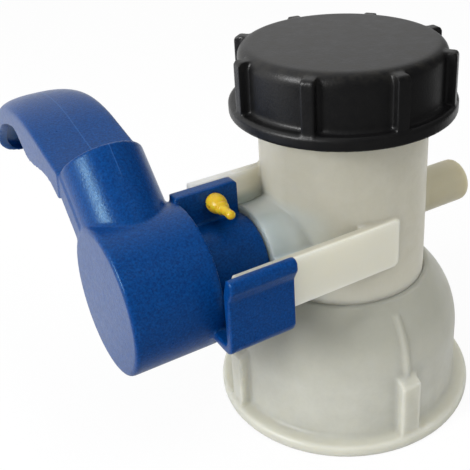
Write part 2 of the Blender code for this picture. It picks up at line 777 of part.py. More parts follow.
def neck_column(name, radius, start, end):
    ends = [neck_point(along, NECK_OFFSET) for along in (start, end)]
    points = [(-HUB_MIDDLE, y, STEM_HEIGHT + height) for y, height in ends]
    return rod(name, radius, *points)


def neck_slab(name, side, start, end, below, above):
    outline = [neck_point(start, below), neck_point(end, below), neck_point(end, above), neck_point(start, above)]
    return plate_along_x(name, outline, -HUB_FACE + side, -HUB_REAR - side)


def make_neck():
    """A round column on a flat-sided core, hollow from below, that carries the lever."""
    below, above = -NECK_CORE_BELOW, NECK_CORE_ABOVE
    start = NECK_RADIUS / 2
    column = neck_column("column", NECK_RADIUS, start, NECK_LENGTH)
    column_below = below + CLEARANCE
    column = cut(column, neck_slab("under", -LEVER_WALL, -HUB_RADIUS, NECK_LENGTH * 2, -HUB_RADIUS, column_below))
    neck = union(column, neck_slab("core", CLEARANCE, start + SLIM, NECK_LENGTH - SLIM, below, above))
    hollow_end = NECK_LENGTH - LEVER_WALL
    deep = below - LEVER_WALL
    hollow = neck_column("hollow", NECK_RADIUS - LEVER_WALL, 0, hollow_end)
    hollow_slab = neck_slab("hollow_slab", LEVER_WALL, -SLIM, hollow_end - SLIM, deep, above - LEVER_WALL)
    passage = neck_slab("passage", LEVER_WALL + SLIM, -2 * SLIM, NECK_LENGTH * 2, deep - SLIM, below + LEVER_WALL / 2)
    hub_room = stem_rod("hub_room", HUB_RADIUS - HUB_WALL / 2, -HUB_FACE - SLIM, -HUB_REAR + SLIM)
    return cut(neck, hollow, hollow_slab, passage, hub_room)


def between(table, place):
    """Smooth step between the rows of a (place, value) table."""
    if place <= table[0][0]:
        return table[0][1]
    for (start, low), (end, high) in zip(table, table[1:]):
        if place <= end:
            share = (place - start) / (end - start)
            return low + (high - low) * (1 - math.cos(math.pi * share)) / 2
    return table[-1][1]


def lever_stations():
    """(distance, Y, height, heading) along the lever's near top edge: straight, bend, then curl."""
    y, height = neck_point(NECK_LENGTH, NECK_CORE_ABOVE)
    stations = []
    travelled = 0
    heading = LEVER_RISE
    stretches = (
        (LEVER_STRAIGHT, 0, 6),
        (LEVER_BEND_RADIUS * LEVER_BEND, LEVER_BEND, 10),
        (LEVER_CURL_RADIUS * LEVER_CURL, LEVER_CURL, 12),
    )
    for length, turn, steps in stretches:
        for _ in range(steps):
            stations.append((travelled, y, height, heading))
            middle = heading - turn / steps / 2
            y += length / steps * math.cos(middle)
            height += length / steps * math.sin(middle)
            heading -= turn / steps
            travelled += length / steps
    stations.append((travelled, y, height, heading))
    return stations


def lever_section(place, length):
    """Ring of (X offset, rise) points: the outer side from flange to flange, then back along the inner side."""
    crown_end = LEVER_STRAIGHT + LEVER_BEND_RADIUS * LEVER_BEND
    crown = between(((0, LEVER_CROWN_AT_NECK), (crown_end, LEVER_CROWN_AT_TIP)), place)
    power = 2 / between(((0, 7.0), (crown_end, 2.6)), place)
    flange = max(between(LEVER_FLANGES, place), LEVER_WALL + SLIM)
    half = HUB_DEPTH / 2
    into_tip = place - (length - LEVER_TIP_CORNER)
    if into_tip > 0:
        half -= LEVER_TIP_CORNER - math.sqrt(max(LEVER_TIP_CORNER**2 - into_tip**2, 0))
    sides = []
    for width, drop in ((half, 0), (half - LEVER_WALL, LEVER_WALL)):
        side = [(-width, -flange)]
        for step in range(13):
            angle = math.pi * step / 12
            across = -math.copysign(abs(math.cos(angle)) ** power, math.cos(angle))
            side.append((across * width, crown * abs(math.sin(angle)) ** power - drop))
        side.append((width, -flange))
        sides.append(side)
    return sides[0] + sides[1][::-1]


def make_lever():
    """A channel lofted along the stations, its tip narrowed to rounded corners."""
    stations = lever_stations()
    length = stations[-1][0]
    shape = bmesh.new()
    rings = []
    for place, y, height, heading in stations:
        ring = []
        for across, rise in lever_section(place, length):
            point_y = y - rise * math.sin(heading)
            point_z = STEM_HEIGHT + height + rise * math.cos(heading)
            ring.append(shape.verts.new((-HUB_MIDDLE + across, point_y, point_z)))
        rings.append(ring)
    count = len(rings[0])
    for first, second in zip(rings, rings[1:]):
        for index in range(count):
            after = (index + 1) % count
            shape.faces.new((first[index], first[after], second[after], second[index]))
    for ring in (rings[0], rings[-1]):
        for index in range(count // 2 - 1):
            shape.faces.new((ring[index], ring[index + 1], ring[-2 - index], ring[-1 - index]))
    bmesh.ops.recalc_face_normals(shape, faces=shape.faces)
    mesh = bpy.data.meshes.new("lever")
    shape.to_mesh(mesh)
    shape.free()
    return add_object("lever", mesh)


def make_handle():
    handle = union(make_hub(), make_tab(), make_hook(), make_neck(), make_lever())
    socket_side = SQUARE_SIDE + 2 * CLEARANCE
    socket = square_bar("socket", socket_side, -HUB_FACE + SOCKET_FLOOR, -RING_END + SLIM)
    pin_hole = rod("pin_hole", PIN_HOLE_RADIUS, (PIN_X, 0, PIN_Z), (PIN_X, HUB_RADIUS, PIN_Z), STEPS_SMALL)
    return cut(handle, socket, pin_hole)


def make_locking_pin():
    """A split shank in the tab, a bulb too wide for the hole, a step and a nipple."""
    bulb_back = TAB_FRONT - CLEARANCE
    bulb_front = bulb_back - PIN_BULB_LENGTH
    step_front = bulb_front - PIN_STEP_LENGTH
    nipple_end = step_front - PIN_NIPPLE_LENGTH
    bulb = []
    for share in (0.0, 0.15, 0.4, 0.65, 0.85, 1.0):
        height = bulb_back - PIN_BULB_LENGTH * share
        swell = math.sqrt(1 - ((share - 0.4) / 0.8) ** 2)
        bulb.append((PIN_BULB_RADIUS * swell, height))
    nipple = arc((0, nipple_end + PIN_NIPPLE_RADIUS), PIN_NIPPLE_RADIUS, 0, -90, 4)
    profile = [
        (0, TAB_REAR - CLEARANCE),
        (PIN_SHANK_RADIUS, TAB_REAR - CLEARANCE),
        (PIN_SHANK_RADIUS, bulb_back),
        *bulb,
        (PIN_STEP_RADIUS, bulb_front),
        (PIN_STEP_RADIUS, step_front),
        (PIN_NIPPLE_RADIUS, step_front),
        *nipple[:-1],
        (0, nipple_end),
    ]
    along_y = Matrix.Translation((PIN_X, 0, PIN_Z)) @ Matrix.Rotation(math.radians(-90), 4, "X")
    pin = turned("pin", profile, along_y, STEPS_SMALL)
    half = PIN_SLOT / 2
    low = (PIN_X - HUB_RADIUS, bulb_front + PIN_BULB_LENGTH / 3, PIN_Z - half)
    slot = box("slot", low, (PIN_X + HUB_RADIUS, TAB_REAR + SLIM, PIN_Z + half))
    return cut(pin, slot)


def build():
    clear_scene()
    valve = bpy.data.collections.new("ibc_butterfly_valve")
    bpy.context.scene.collection.children.link(valve)
    natural = make_material("natural_polyethylene", (0.72, 0.71, 0.66), 0.45)
    black = make_material("black_polyethylene", (0.02, 0.02, 0.02), 0.4)
    blue = make_material("blue_polyethylene", (0.01, 0.06, 0.25), 0.4)
    yellow = make_material("yellow_polyethylene", (0.75, 0.5, 0.02), 0.4)
    white = make_material("white_polypropylene", (0.8, 0.8, 0.78), 0.4)
    rubber = make_material("black_rubber", (0.015, 0.015, 0.015), 0.7)
    steel = make_material("stainless_steel", (0.6, 0.6, 0.6), 0.3, 1.0)
    outer_ring, inner_ring = o_ring_places()
    finish(make_valve_body(), "valve_body", natural, valve)
    finish(make_coupling_nut(), "coupling_nut", natural.copy(), valve)
    gasket_inner = TUBE_RADIUS + CLEARANCE
    gasket_bottom = COLLAR_BOTTOM - CLEARANCE - GASKET_HEIGHT
    gasket = flat_ring("gasket", gasket_inner, gasket_inner + GASKET_WIDTH, gasket_bottom, GASKET_HEIGHT)
    finish(gasket, "coupling_gasket", rubber, valve)
    finish(make_outlet_cap(), "outlet_cap", black, valve)
    washer_inner = BORE_RADIUS - CAP_GASKET_OVERHANG
    washer_outer = CAP_INNER_RADIUS - CLEARANCE
    washer = flat_ring("washer", washer_inner, washer_outer, TUBE_TOP + CLEARANCE, CAP_GASKET_HEIGHT)
    finish(washer, "cap_gasket", rubber.copy(), valve)
    finish(make_handle(), "handle", blue, valve, STEM_AXIS)
    finish(make_locking_pin(), "locking_pin", yellow, valve, (PIN_X, TAB_FRONT, PIN_Z))
    finish(make_stem(), "stem", white, valve, STEM_AXIS)
    finish(make_disc(), "disc", natural.copy(), valve, STEM_AXIS)
    finish(make_disc_seal(), "disc_seal", rubber.copy(), valve, STEM_AXIS)
    disc_pin = upright_rod("disc_pin", DISC_PIN_RADIUS, DISC_HUB_RADIUS - CLEARANCE, STEPS_SMALL)
    finish(disc_pin, "disc_pin", steel, valve, STEM_AXIS)
    finish(make_o_ring("outer", outer_ring), "stem_oring_outer", rubber.copy(), valve, STEM_AXIS)
    finish(make_o_ring("inner", inner_ring), "stem_oring_inner", rubber.copy(), valve, STEM_AXIS)
    gland_start = -BARREL_END + CLEARANCE
    gland_outer = GLAND_BORE_RADIUS - CLEARANCE
    gland = stem_ring("gland", STEM_RADIUS + CLEARANCE, gland_outer, gland_start, gland_start + GLAND_LENGTH)
    finish(gland, "gland_bush", white.copy(), valve)
    bush_inner = PIVOT_RADIUS + CLEARANCE
    bush_end = PIVOT_BORE_END - SLIM
    bush = stem_ring("bush", bush_inner, bush_inner + PIVOT_BUSH_WALL, BORE_RADIUS + SLIM, bush_end, STEPS_SMALL)
    finish(bush, "pivot_bush", white.copy(), valve)


build()
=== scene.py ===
# %% [markdown]
# This lesson dresses a butterfly valve for the outlet of a bulk container. The imported CAD model is
# loaded as a fixed frame. On the real valve its bodies turn and slide; here their parts are grouped
# under one empty for each body, and every piece made here rides on one of them. The CAD shapes are
# plain, so the big mouldings are made again with rounded edges, threads and moulding marks, and the
# small inner pieces keep their CAD mesh and only get a better finish.

# %% Load the frame
import json
import math

import bmesh
import bpy
from mathutils import Matrix, Vector

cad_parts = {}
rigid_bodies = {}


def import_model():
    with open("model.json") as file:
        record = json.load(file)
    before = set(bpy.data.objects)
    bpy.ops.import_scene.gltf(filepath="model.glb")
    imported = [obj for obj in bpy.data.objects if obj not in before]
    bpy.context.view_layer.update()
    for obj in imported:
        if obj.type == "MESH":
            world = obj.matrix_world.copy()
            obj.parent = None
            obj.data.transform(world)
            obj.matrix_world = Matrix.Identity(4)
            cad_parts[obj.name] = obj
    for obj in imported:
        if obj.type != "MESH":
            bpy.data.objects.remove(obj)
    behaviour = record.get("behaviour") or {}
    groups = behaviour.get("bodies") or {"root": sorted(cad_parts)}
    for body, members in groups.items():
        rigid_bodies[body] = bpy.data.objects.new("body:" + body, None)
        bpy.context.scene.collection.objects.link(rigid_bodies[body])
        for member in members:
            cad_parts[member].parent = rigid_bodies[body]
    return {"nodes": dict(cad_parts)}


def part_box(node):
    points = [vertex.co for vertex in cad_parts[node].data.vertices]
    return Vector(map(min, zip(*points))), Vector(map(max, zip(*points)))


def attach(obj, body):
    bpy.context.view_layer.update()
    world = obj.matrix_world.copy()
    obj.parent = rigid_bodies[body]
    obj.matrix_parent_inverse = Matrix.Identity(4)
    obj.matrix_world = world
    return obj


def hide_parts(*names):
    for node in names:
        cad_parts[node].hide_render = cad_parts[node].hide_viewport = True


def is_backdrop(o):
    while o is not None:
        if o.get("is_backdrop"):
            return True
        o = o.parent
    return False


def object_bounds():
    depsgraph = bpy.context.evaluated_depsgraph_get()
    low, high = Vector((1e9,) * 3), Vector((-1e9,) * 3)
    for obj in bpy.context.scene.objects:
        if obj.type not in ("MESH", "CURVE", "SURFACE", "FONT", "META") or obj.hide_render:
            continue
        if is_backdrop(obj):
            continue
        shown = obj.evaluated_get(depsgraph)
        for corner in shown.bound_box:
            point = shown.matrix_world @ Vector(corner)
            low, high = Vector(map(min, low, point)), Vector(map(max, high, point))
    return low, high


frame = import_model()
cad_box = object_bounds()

# %% [markdown]
# Everything is measured in metres. The flow tube stands on the Z axis and the stem runs along X at
# the height given here. These sizes are the ones that the CAD model has, so that each new moulding
# lands on its node.

# %% Sizes that the pieces share
MM = 0.001
STEM_Z = 0.0683
TUBE_R = 0.0290
BORE_R = 0.0250
TUBE_TOP = 0.1295
NUT_TOP = 0.0512
NUT_R = 0.0418
CAP_R = 0.0345
CAP_INNER_R = 0.0313
CAP_TOP = 0.1347
BARREL_END = 0.0385
RING_END = 0.0388
HUB_REAR = 0.0612
HUB_FACE = 0.0905
HUB_MIDDLE = (HUB_REAR + HUB_FACE) / 2
HUB_R = 0.0240
THREAD_PITCH = 0.006
WELD = MM / 1000
for node in ("valve_body", "coupling_nut", "outlet_cap", "handle", "locking_pin"):
    low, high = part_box(node)
    print(node, [round(v / MM, 1) for v in low], [round(v / MM, 1) for v in high])

# %% [markdown]
# Operators act on all that is selected, and the frame arrives selected, so each step starts by
# letting go of everything. Three short helpers do that: one takes hold of a single object, one
# opens it for editing, and one selects the corners that pass a test of place.

# %% Helpers to hold, open and pick
def hold(*objects):
    if bpy.context.object and bpy.context.object.mode != "OBJECT":
        bpy.ops.object.mode_set(mode="OBJECT")
    bpy.ops.object.select_all(action="DESELECT")
    for obj in objects:
        obj.select_set(True)
    bpy.context.view_layer.objects.active = objects[0] if objects else None


def open_piece(obj):
    hold(obj)
    bpy.ops.object.mode_set(mode="EDIT")
    bpy.ops.mesh.select_mode(type="VERT")


def pick(obj, test):
    """Selects the corners whose place passes the test, and the edges and faces between them."""
    bpy.ops.mesh.select_all(action="DESELECT")
    shape = bmesh.from_edit_mesh(obj.data)
    for vert in shape.verts:
        vert.select = test(vert.co)
    shape.select_flush_mode()
    shape.select_flush(True)
    bmesh.update_edit_mesh(obj.data)


def close_piece():
    bpy.ops.object.mode_set(mode="OBJECT")


# %% [markdown]
# Most of this valve is round, and a round moulding is easiest to make as on a lathe: half of its
# section is drawn by extruding one corner from point to point, and the line is spun round the axis.
# The same helper draws on the upright axis or on the stem's axis.

# %% Helper to turn a section
# Steps in a full turn: the larger the radius, the more of them.
LARGE, MEDIUM, SMALL, TINY = 160, 96, 64, 48
UPRIGHT = (Vector((1, 0, 0)), Vector((0, 0, 1)), Vector((0, 0, 0)))
ALONG_STEM = (Vector((0, 0, 1)), Vector((1, 0, 0)), Vector((0, 0, STEM_Z)))


def turn(name, section, axis=UPRIGHT, steps=128, closed=False):
    """Section points are (radius, place along the axis)."""
    out, along, start = axis
    points = [start + out * radius + along * place for radius, place in section]
    hold()
    bpy.ops.mesh.primitive_plane_add(size=MM, enter_editmode=True)
    obj = bpy.context.object
    obj.name = name
    bpy.ops.mesh.merge(type="CENTER")
    bpy.ops.transform.translate(value=points[0])
    for before, after in zip(points, points[1:]):
        step = {"value": after - before}
        bpy.ops.mesh.extrude_vertices_move(TRANSFORM_OT_translate=step)
    if closed:
        shape = bmesh.from_edit_mesh(obj.data)
        shape.verts.ensure_lookup_table()
        shape.edges.new((shape.verts[0], shape.verts[-1]))
        bmesh.update_edit_mesh(obj.data)
    bpy.ops.mesh.select_all(action="SELECT")
    bpy.ops.mesh.spin(steps=steps, angle=math.tau, center=start, axis=along)
    bpy.ops.mesh.select_all(action="SELECT")
    bpy.ops.mesh.remove_doubles(threshold=WELD)
    bpy.ops.mesh.normals_make_consistent(inside=False)
    close_piece()
    return obj


def bend(centre, radius, start, end, steps=8):
    """Points of a rounded corner, in degrees."""
    angles = [math.radians(start + (end - start) * i / steps) for i in range(steps + 1)]
    across, along = centre
    return [(across + radius * math.cos(a), along + radius * math.sin(a)) for a in angles]


# %% [markdown]
# Plates and ribs start as a cube at their size and place, and the corners that a mould would round
# are bevelled in edit mode. Other plates start as a filled ring of corners that is extruded. A
# repeated rib is modelled once and copied round the axis, each copy with a mesh of its own.

# %% Helpers for plates and ribs
def slab(name, low, high):
    low, high = Vector(low), Vector(high)
    hold()
    bpy.ops.mesh.primitive_cube_add(size=1, location=(low + high) / 2, scale=high - low)
    obj = bpy.context.object
    obj.name = name
    bpy.ops.object.transform_apply(location=True, rotation=True, scale=True)
    return obj


def filled_ring(name, corners):
    """A face with the given corners, left open for editing."""
    hold()
    count = len(corners)
    bpy.ops.mesh.primitive_circle_add(vertices=count, fill_type="NGON", enter_editmode=True)
    obj = bpy.context.object
    obj.name = name
    shape = bmesh.from_edit_mesh(obj.data)
    shape.verts.ensure_lookup_table()
    for vert, corner in zip(shape.verts, corners):
        vert.co = corner
    bmesh.update_edit_mesh(obj.data)
    return obj


def plate(name, corners, depth):
    """A face with the given corners, extruded by the vector depth."""
    obj = filled_ring(name, corners)
    bpy.ops.mesh.select_all(action="SELECT")
    bpy.ops.mesh.extrude_region_move(TRANSFORM_OT_translate={"value": depth})
    bpy.ops.mesh.select_all(action="SELECT")
    bpy.ops.mesh.normals_make_consistent(inside=False)
    close_piece()
    return obj


def round_edges(obj, test, width, steps=5):
    """Bevels the edges between the corners that pass the test."""
    open_piece(obj)
    pick(obj, test)
    bpy.ops.mesh.bevel(offset=width, segments=steps, affect="EDGES", clamp_overlap=True)
    close_piece()
    return obj


def copies_round(obj, count, first):
    """Copies about the upright axis. The one given points along +X and becomes the first."""
    made = []
    for index in range(count):
        copy = obj if index == 0 else obj.copy()
        if index:
            copy.data = made[0].data.copy()
            copy.data.transform(Matrix.Rotation(math.tau * index / count, 4, "Z"))
            bpy.context.scene.collection.objects.link(copy)
        else:
            copy.data.transform(Matrix.Rotation(math.radians(first), 4, "Z"))
        made.append(copy)
    return made


# %% [markdown]
# An injection moulding is one skin with small fillets wherever its forms meet. Laying the forms
# into each other and joining them as voxels gives exactly that: the remesh keeps only the outer
# skin, and a few rounds of smoothing turn each hard edge into a fillet of about a voxel. Bevels
# could round them too, but each edge would have to be found and its meetings mended by hand.

# %% Helpers to mould and cut
def apply_all(obj):
    hold(obj)
    for modifier in list(obj.modifiers):
        bpy.ops.object.modifier_apply(modifier=modifier.name)
    return obj


def mould(name, forms, grain, rounds, keep=1.0):
    """Joins the forms into one skin with quads of the grain's size, softens it and thins it."""
    hold(*forms)
    if len(forms) > 1:
        bpy.ops.object.join()
    obj = bpy.context.object
    obj.name = obj.data.name = name
    skin = obj.modifiers.new("Skin", "REMESH")
    skin.mode = "VOXEL"
    skin.voxel_size = grain
    if rounds:
        soften = obj.modifiers.new("Soften", "SMOOTH")
        soften.factor = 0.5
        soften.iterations = rounds
    if keep < 1:
        obj.modifiers.new("Thin", "DECIMATE").ratio = keep
    return apply_all(obj)


def cut(obj, *tools):
    for tool in tools:
        knife = obj.modifiers.new("Cut", "BOOLEAN")
        knife.operation = "DIFFERENCE"
        knife.solver = "EXACT"
        knife.object = tool
        apply_all(obj)
        bpy.data.objects.remove(tool, do_unlink=True)
    return obj


def shade(obj, angle=40):
    hold(obj)
    bpy.ops.object.shade_smooth_by_angle(angle=math.radians(angle))
    obj.data.calc_loop_triangles()
    size = [round(v / MM, 1) for v in obj.dimensions]
    print(obj.name, size, "mm,", len(obj.data.loop_triangles), "triangles")
    return obj


# %% [markdown]
# The neck of the tube, the cap and the nut have coarse round threads. A thread is a small section
# dragged along a screw line: here a four-cornered section is filled, wound by a Screw modifier and
# closed at its two ends. A curve with a bevel could do it, but the Screw modifier keeps the section
# upright.

# %% Helper to wind a thread
THREAD_SINK = 0.0006
THREAD_STEPS = 72


def thread(name, root, crest, bottom, turns, width):
    """A ridge from the root radius to the crest radius that climbs one pitch a turn."""
    base = root + math.copysign(THREAD_SINK, root - crest)
    hold()
    bpy.ops.mesh.primitive_plane_add(size=MM, enter_editmode=True)
    obj = bpy.context.object
    obj.name = name
    shape = bmesh.from_edit_mesh(obj.data)
    corners = ((base, -width / 2), (crest, -width / 5), (crest, width / 5), (base, width / 2))
    face = shape.faces.new([shape.verts.new((r, 0, bottom + z)) for r, z in corners])
    spare = [vert for vert in shape.verts if face not in vert.link_faces]
    bmesh.ops.delete(shape, geom=spare, context="VERTS")
    bmesh.update_edit_mesh(obj.data)
    close_piece()
    wind = obj.modifiers.new("Wind", "SCREW")
    wind.angle = math.tau * turns
    wind.screw_offset = THREAD_PITCH * turns
    wind.steps = wind.render_steps = int(THREAD_STEPS * turns)
    wind.use_smooth_shade = True
    apply_all(obj)
    open_piece(obj)
    bpy.ops.mesh.select_all(action="SELECT")
    bpy.ops.mesh.remove_doubles(threshold=WELD)
    bpy.ops.mesh.fill_holes(sides=0)
    bpy.ops.mesh.select_all(action="SELECT")
    bpy.ops.mesh.normals_make_consistent(inside=False)
    close_piece()
    return obj


# %% [markdown]
# The camera stands where the photograph was taken from: in front and a little to the left of the
# valve, looking down on it. The lens is shifted so that the valve sits in the frame as it does
# there.

# %% Camera
CAMERA_PLACE = Vector((-0.1531, -0.2123, 0.2165))
CAMERA_AZIMUTH = math.radians(-32.12)
CAMERA_ELEVATION = math.radians(26.50)
CAMERA_ROLL = math.radians(1.823)
CAMERA_SHIFT = (-0.1277, -0.1277)
LENS_MM = 63.91
SENSOR_MM = 36

lens = bpy.data.cameras.new("camera")
lens.lens = LENS_MM
lens.sensor_width = SENSOR_MM
lens.shift_x, lens.shift_y = CAMERA_SHIFT
lens.clip_start, lens.clip_end = 0.01, 20
camera = bpy.data.objects.new("camera", lens)
bpy.context.scene.collection.objects.link(camera)
back = Vector((
    math.sin(CAMERA_AZIMUTH) * math.cos(CAMERA_ELEVATION),
    -math.cos(CAMERA_AZIMUTH) * math.cos(CAMERA_ELEVATION),
    math.sin(CAMERA_ELEVATION),
))
right = Vector((math.cos(CAMERA_AZIMUTH), math.sin(CAMERA_AZIMUTH), 0))
up = back.cross(right)
turned_right = right * math.cos(CAMERA_ROLL) - up * math.sin(CAMERA_ROLL)
turned_up = right * math.sin(CAMERA_ROLL) + up * math.cos(CAMERA_ROLL)
place = Matrix((turned_right, turned_up, back)).transposed().to_4x4()
place.translation = CAMERA_PLACE
camera.matrix_world = place
bpy.context.scene.camera = camera
print("camera", lens.lens, "mm, looks along", [round(v, 3) for v in -back])

# %% [markdown]
# The outlet cap is a black screw cap: a flat top with a rounded edge, a rim at its foot and eight
# short ribs to grip. It is turned from its half section, the ribs are one bevelled block copied
# eight times, and a coarse thread winds down its inner wall. An array could repeat the ribs, but
# plain copies join into one skin more simply.

# %% Outlet cap
CAP_FOOT = CAP_TOP - 0.0227
CAP_EDGE = 0.0040
CAP_FILLET = 0.0008
CAP_RIM_TOP = CAP_FOOT + 0.0045
CAP_RIM_R = CAP_R + 0.0038
CAP_RIM_EDGE = 0.0009
CAP_FOOT_EDGE = 0.0004
CAP_UNDERSIDE = CAP_TOP - 0.0030
CAP_THREAD_R = CAP_INNER_R - 0.0008
CAP_RIB_HALF = 0.00215
CAP_RIB_OUT = CAP_R + 0.0031
CAP_RIB_TOP = CAP_TOP - 0.0009
CAP_RIB_CORNER = 0.0016
CAP_RIBS = 8
CAP_RIB_FIRST = -97
cap_shell = turn(
    "cap_shell",
    [
        (0, CAP_TOP),
        *bend((CAP_R - CAP_EDGE, CAP_TOP - CAP_EDGE), CAP_EDGE, 90, 0),
        (CAP_R, CAP_RIM_TOP + CAP_FILLET),
        (CAP_R + CAP_FILLET, CAP_RIM_TOP),
        (CAP_RIM_R - CAP_RIM_EDGE, CAP_RIM_TOP),
        (CAP_RIM_R, CAP_RIM_TOP - CAP_RIM_EDGE),
        (CAP_RIM_R, CAP_FOOT + CAP_FOOT_EDGE),
        (CAP_RIM_R - CAP_FOOT_EDGE, CAP_FOOT),
        (CAP_INNER_R, CAP_FOOT),
        (CAP_INNER_R, CAP_UNDERSIDE),
        (0, CAP_UNDERSIDE),
    ],
    steps=LARGE,
)
rib = slab(
    "rib",
    (CAP_R - 0.0016, -CAP_RIB_HALF, CAP_RIM_TOP - 0.0022),
    (CAP_RIB_OUT, CAP_RIB_HALF, CAP_RIB_TOP),
)
round_edges(rib, lambda p: p.x > CAP_R + 0.002 and p.z > CAP_TOP - 0.003, CAP_RIB_CORNER)
cap_ribs = copies_round(rib, CAP_RIBS, CAP_RIB_FIRST)
cap_thread = thread(
    "cap_thread", CAP_INNER_R, CAP_THREAD_R, bottom=CAP_FOOT + 0.0035, turns=2.2, width=0.0026
)
outlet_cap = mould("cap_moulding", [cap_shell, *cap_ribs, cap_thread], grain=0.00050, rounds=3)
shade(outlet_cap)
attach(outlet_cap, "outlet_cap")
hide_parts("outlet_cap")

# %% [markdown]
# The coupling nut hangs loose below the tube. It is a natural polyethylene bell: a domed shoulder,
# a straight skirt with four ribs to turn it by, and a rim round its foot. Inside it has the coarse
# thread that screws onto the container. Over one rib the mould's parting leaves a low ridge that
# runs up the shoulder, a plate cut to the dome's own line. The bell could be a sculpted cylinder,
# but a turned section holds its wall exactly.

# %% Coupling nut
NUT_BORE_R = 0.0370
NUT_THREAD_R = NUT_BORE_R - 0.0010
NUT_NECK_R = 0.02920
NUT_NECK_SPARE = 0.0012
NUT_DOME_START = 0.0270
NUT_RIM_TOP = 0.0045
NUT_RIM_R = 0.0475
NUT_RIB_HALF = 0.00375
NUT_RIB_TOP = 0.0290
NUT_RIB_SLOPE = 0.0040
NUT_RIBS = 4
NUT_RIB_FIRST = -95
rise = NUT_TOP - NUT_DOME_START
inset = NUT_R - NUT_NECK_R - 0.0017
dome_r = math.hypot(rise, inset) ** 2 / (2 * inset)
dome_end = math.degrees(math.atan2(rise, dome_r - inset))
dome = bend((NUT_R - dome_r, NUT_DOME_START), dome_r, dome_end, 0, 24)
nut_shell = turn(
    "nut_shell",
    [
        *dome,
        (NUT_R, 0.0060),
        (NUT_R + 0.0004, 0.0050),
        (NUT_R + 0.0014, NUT_RIM_TOP),
        (0.0466, NUT_RIM_TOP),
        (0.0473, 0.0040),
        (NUT_RIM_R, 0.0032),
        (NUT_RIM_R, 0.0010),
        (0.0471, 0.0003),
        (0.0464, 0),
        (NUT_BORE_R, 0),
        (NUT_BORE_R, 0.0295),
        (NUT_NECK_R - NUT_NECK_SPARE, 0.0440),
        (NUT_NECK_R - NUT_NECK_SPARE, NUT_TOP),
    ],
    steps=LARGE,
    closed=True,
)
rib = slab(
    "rib",
    (NUT_R - 0.0024, -NUT_RIB_HALF, 0.0022),
    (NUT_R + 0.0040, NUT_RIB_HALF, NUT_RIB_TOP),
)
open_piece(rib)
pick(rib, lambda p: p.x > NUT_R and p.z > 0.02)
bpy.ops.transform.translate(value=(0, 0, -NUT_RIB_SLOPE))
close_piece()
nut_ribs = copies_round(rib, NUT_RIBS, NUT_RIB_FIRST)
nut_thread = thread(
    "nut_thread", NUT_BORE_R, NUT_THREAD_R, bottom=0.0045, turns=3.2, width=0.0032
)
print("nut's shell, ribs and thread ready")

# %% Coupling nut: parting ridge, one skin, then its neck
PARTING_AZIMUTH = math.radians(-95)
PARTING_PROUD = 0.0009
PARTING_WIDTH = 0.0016
PARTING_TOP = 0.0485
line = [(r, z) for r, z in dome if z < PARTING_TOP]
outline = [(r + PARTING_PROUD, z) for r, z in line] + [(r - 0.0015, z) for r, z in reversed(line)]
parting = plate(
    "parting", [(r, -PARTING_WIDTH / 2, z) for r, z in outline], (0, PARTING_WIDTH, 0)
)
parting.data.transform(Matrix.Rotation(PARTING_AZIMUTH, 4, "Z"))
nut_forms = [nut_shell, *nut_ribs, nut_thread, parting]
coupling_nut = mould("nut_moulding", nut_forms, grain=0.00060, rounds=3, keep=0.80)
neck_section = [(0, 0.0400), (NUT_NECK_R, 0.0400), (NUT_NECK_R, 0.0600), (0, 0.0600)]
cut(coupling_nut, turn("nut_neck", neck_section, steps=LARGE))
shade(coupling_nut)
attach(coupling_nut, "coupling_nut")
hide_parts("coupling_nut")

# %% [markdown]
# The valve body is one natural polyethylene moulding: the flow tube, the barrel that carries the
# stem on the left, a blind boss on the right for the stem's far end, a tall fin behind the handle's
# tab, and a web in front that lies in the handle's hook. The web is tied to the barrel by a level
# gusset. All of it could be drawn as one mesh, but simple forms laid into each other meet as the
# real ones do and are easy to move.

# %% Valve body: its forms
TUBE_THREAD_R = TUBE_R + 0.0008
SPIGOT_FOOT = 0.0195
COLLAR_R = 0.0355
COLLAR_FOOT = 0.0245
COLLAR_TOP = 0.0312
BARREL_R = 0.0160
BOSS_R = 0.0081
BOSS_END = 0.0538
BOSS_EDGE = 0.0014
ROOT_R = BORE_R + 0.001
FIN_FRONT = 0.0102
FIN_WIDTH = 0.0034
FIN_END = BARREL_END + 0.0154
FIN_TOP = STEM_Z + 0.0249
WEB_OUTER = -0.0306
WEB_INNER = -0.0272
WEB_CORNER = 0.0030
tube = turn(
    "tube",
    [
        (0, TUBE_TOP),
        (TUBE_R - 0.0006, TUBE_TOP),
        (TUBE_R, TUBE_TOP - 0.0006),
        (TUBE_R, 0.0440),
        (COLLAR_R, COLLAR_TOP),
        (COLLAR_R, COLLAR_FOOT),
        (TUBE_R, COLLAR_FOOT),
        (TUBE_R, SPIGOT_FOOT),
        (0, SPIGOT_FOOT),
    ],
    steps=LARGE,
)
barrel = turn(
    "barrel",
    [
        (0, -BORE_R + 0.001),
        (BARREL_R + 0.0008, -BORE_R + 0.001),
        (BARREL_R + 0.0008, -TUBE_R),
        (BARREL_R + 0.0002, -0.0314),
        (BARREL_R, -0.0338),
        (BARREL_R, -BARREL_END),
        (0, -BARREL_END),
    ],
    ALONG_STEM,
    MEDIUM,
)
boss = turn(
    "boss",
    [
        (0, BOSS_END),
        *bend((BOSS_R - BOSS_EDGE, BOSS_END - BOSS_EDGE), BOSS_EDGE, 90, 0, 5),
        (BOSS_R, ROOT_R),
        (0, ROOT_R),
    ],
    ALONG_STEM,
    SMALL,
)
fin_back = FIN_FRONT + FIN_WIDTH
fin = slab("fin", (-FIN_END, FIN_FRONT, STEM_Z + 0.0107), (0, fin_back, FIN_TOP))
fin_root = slab("fin_root", (-BARREL_END, FIN_FRONT, STEM_Z), (0, fin_back, FIN_TOP))
web = slab(
    "web", (-0.0605, WEB_OUTER, STEM_Z - 0.0041), (0.0015, WEB_INNER, STEM_Z + 0.0133)
)
round_edges(web, lambda p: p.x > 0, WEB_CORNER, 6)
gusset = slab("gusset", (-BARREL_END, -0.0289, STEM_Z + 0.0020), (0, 0, STEM_Z + 0.0050))
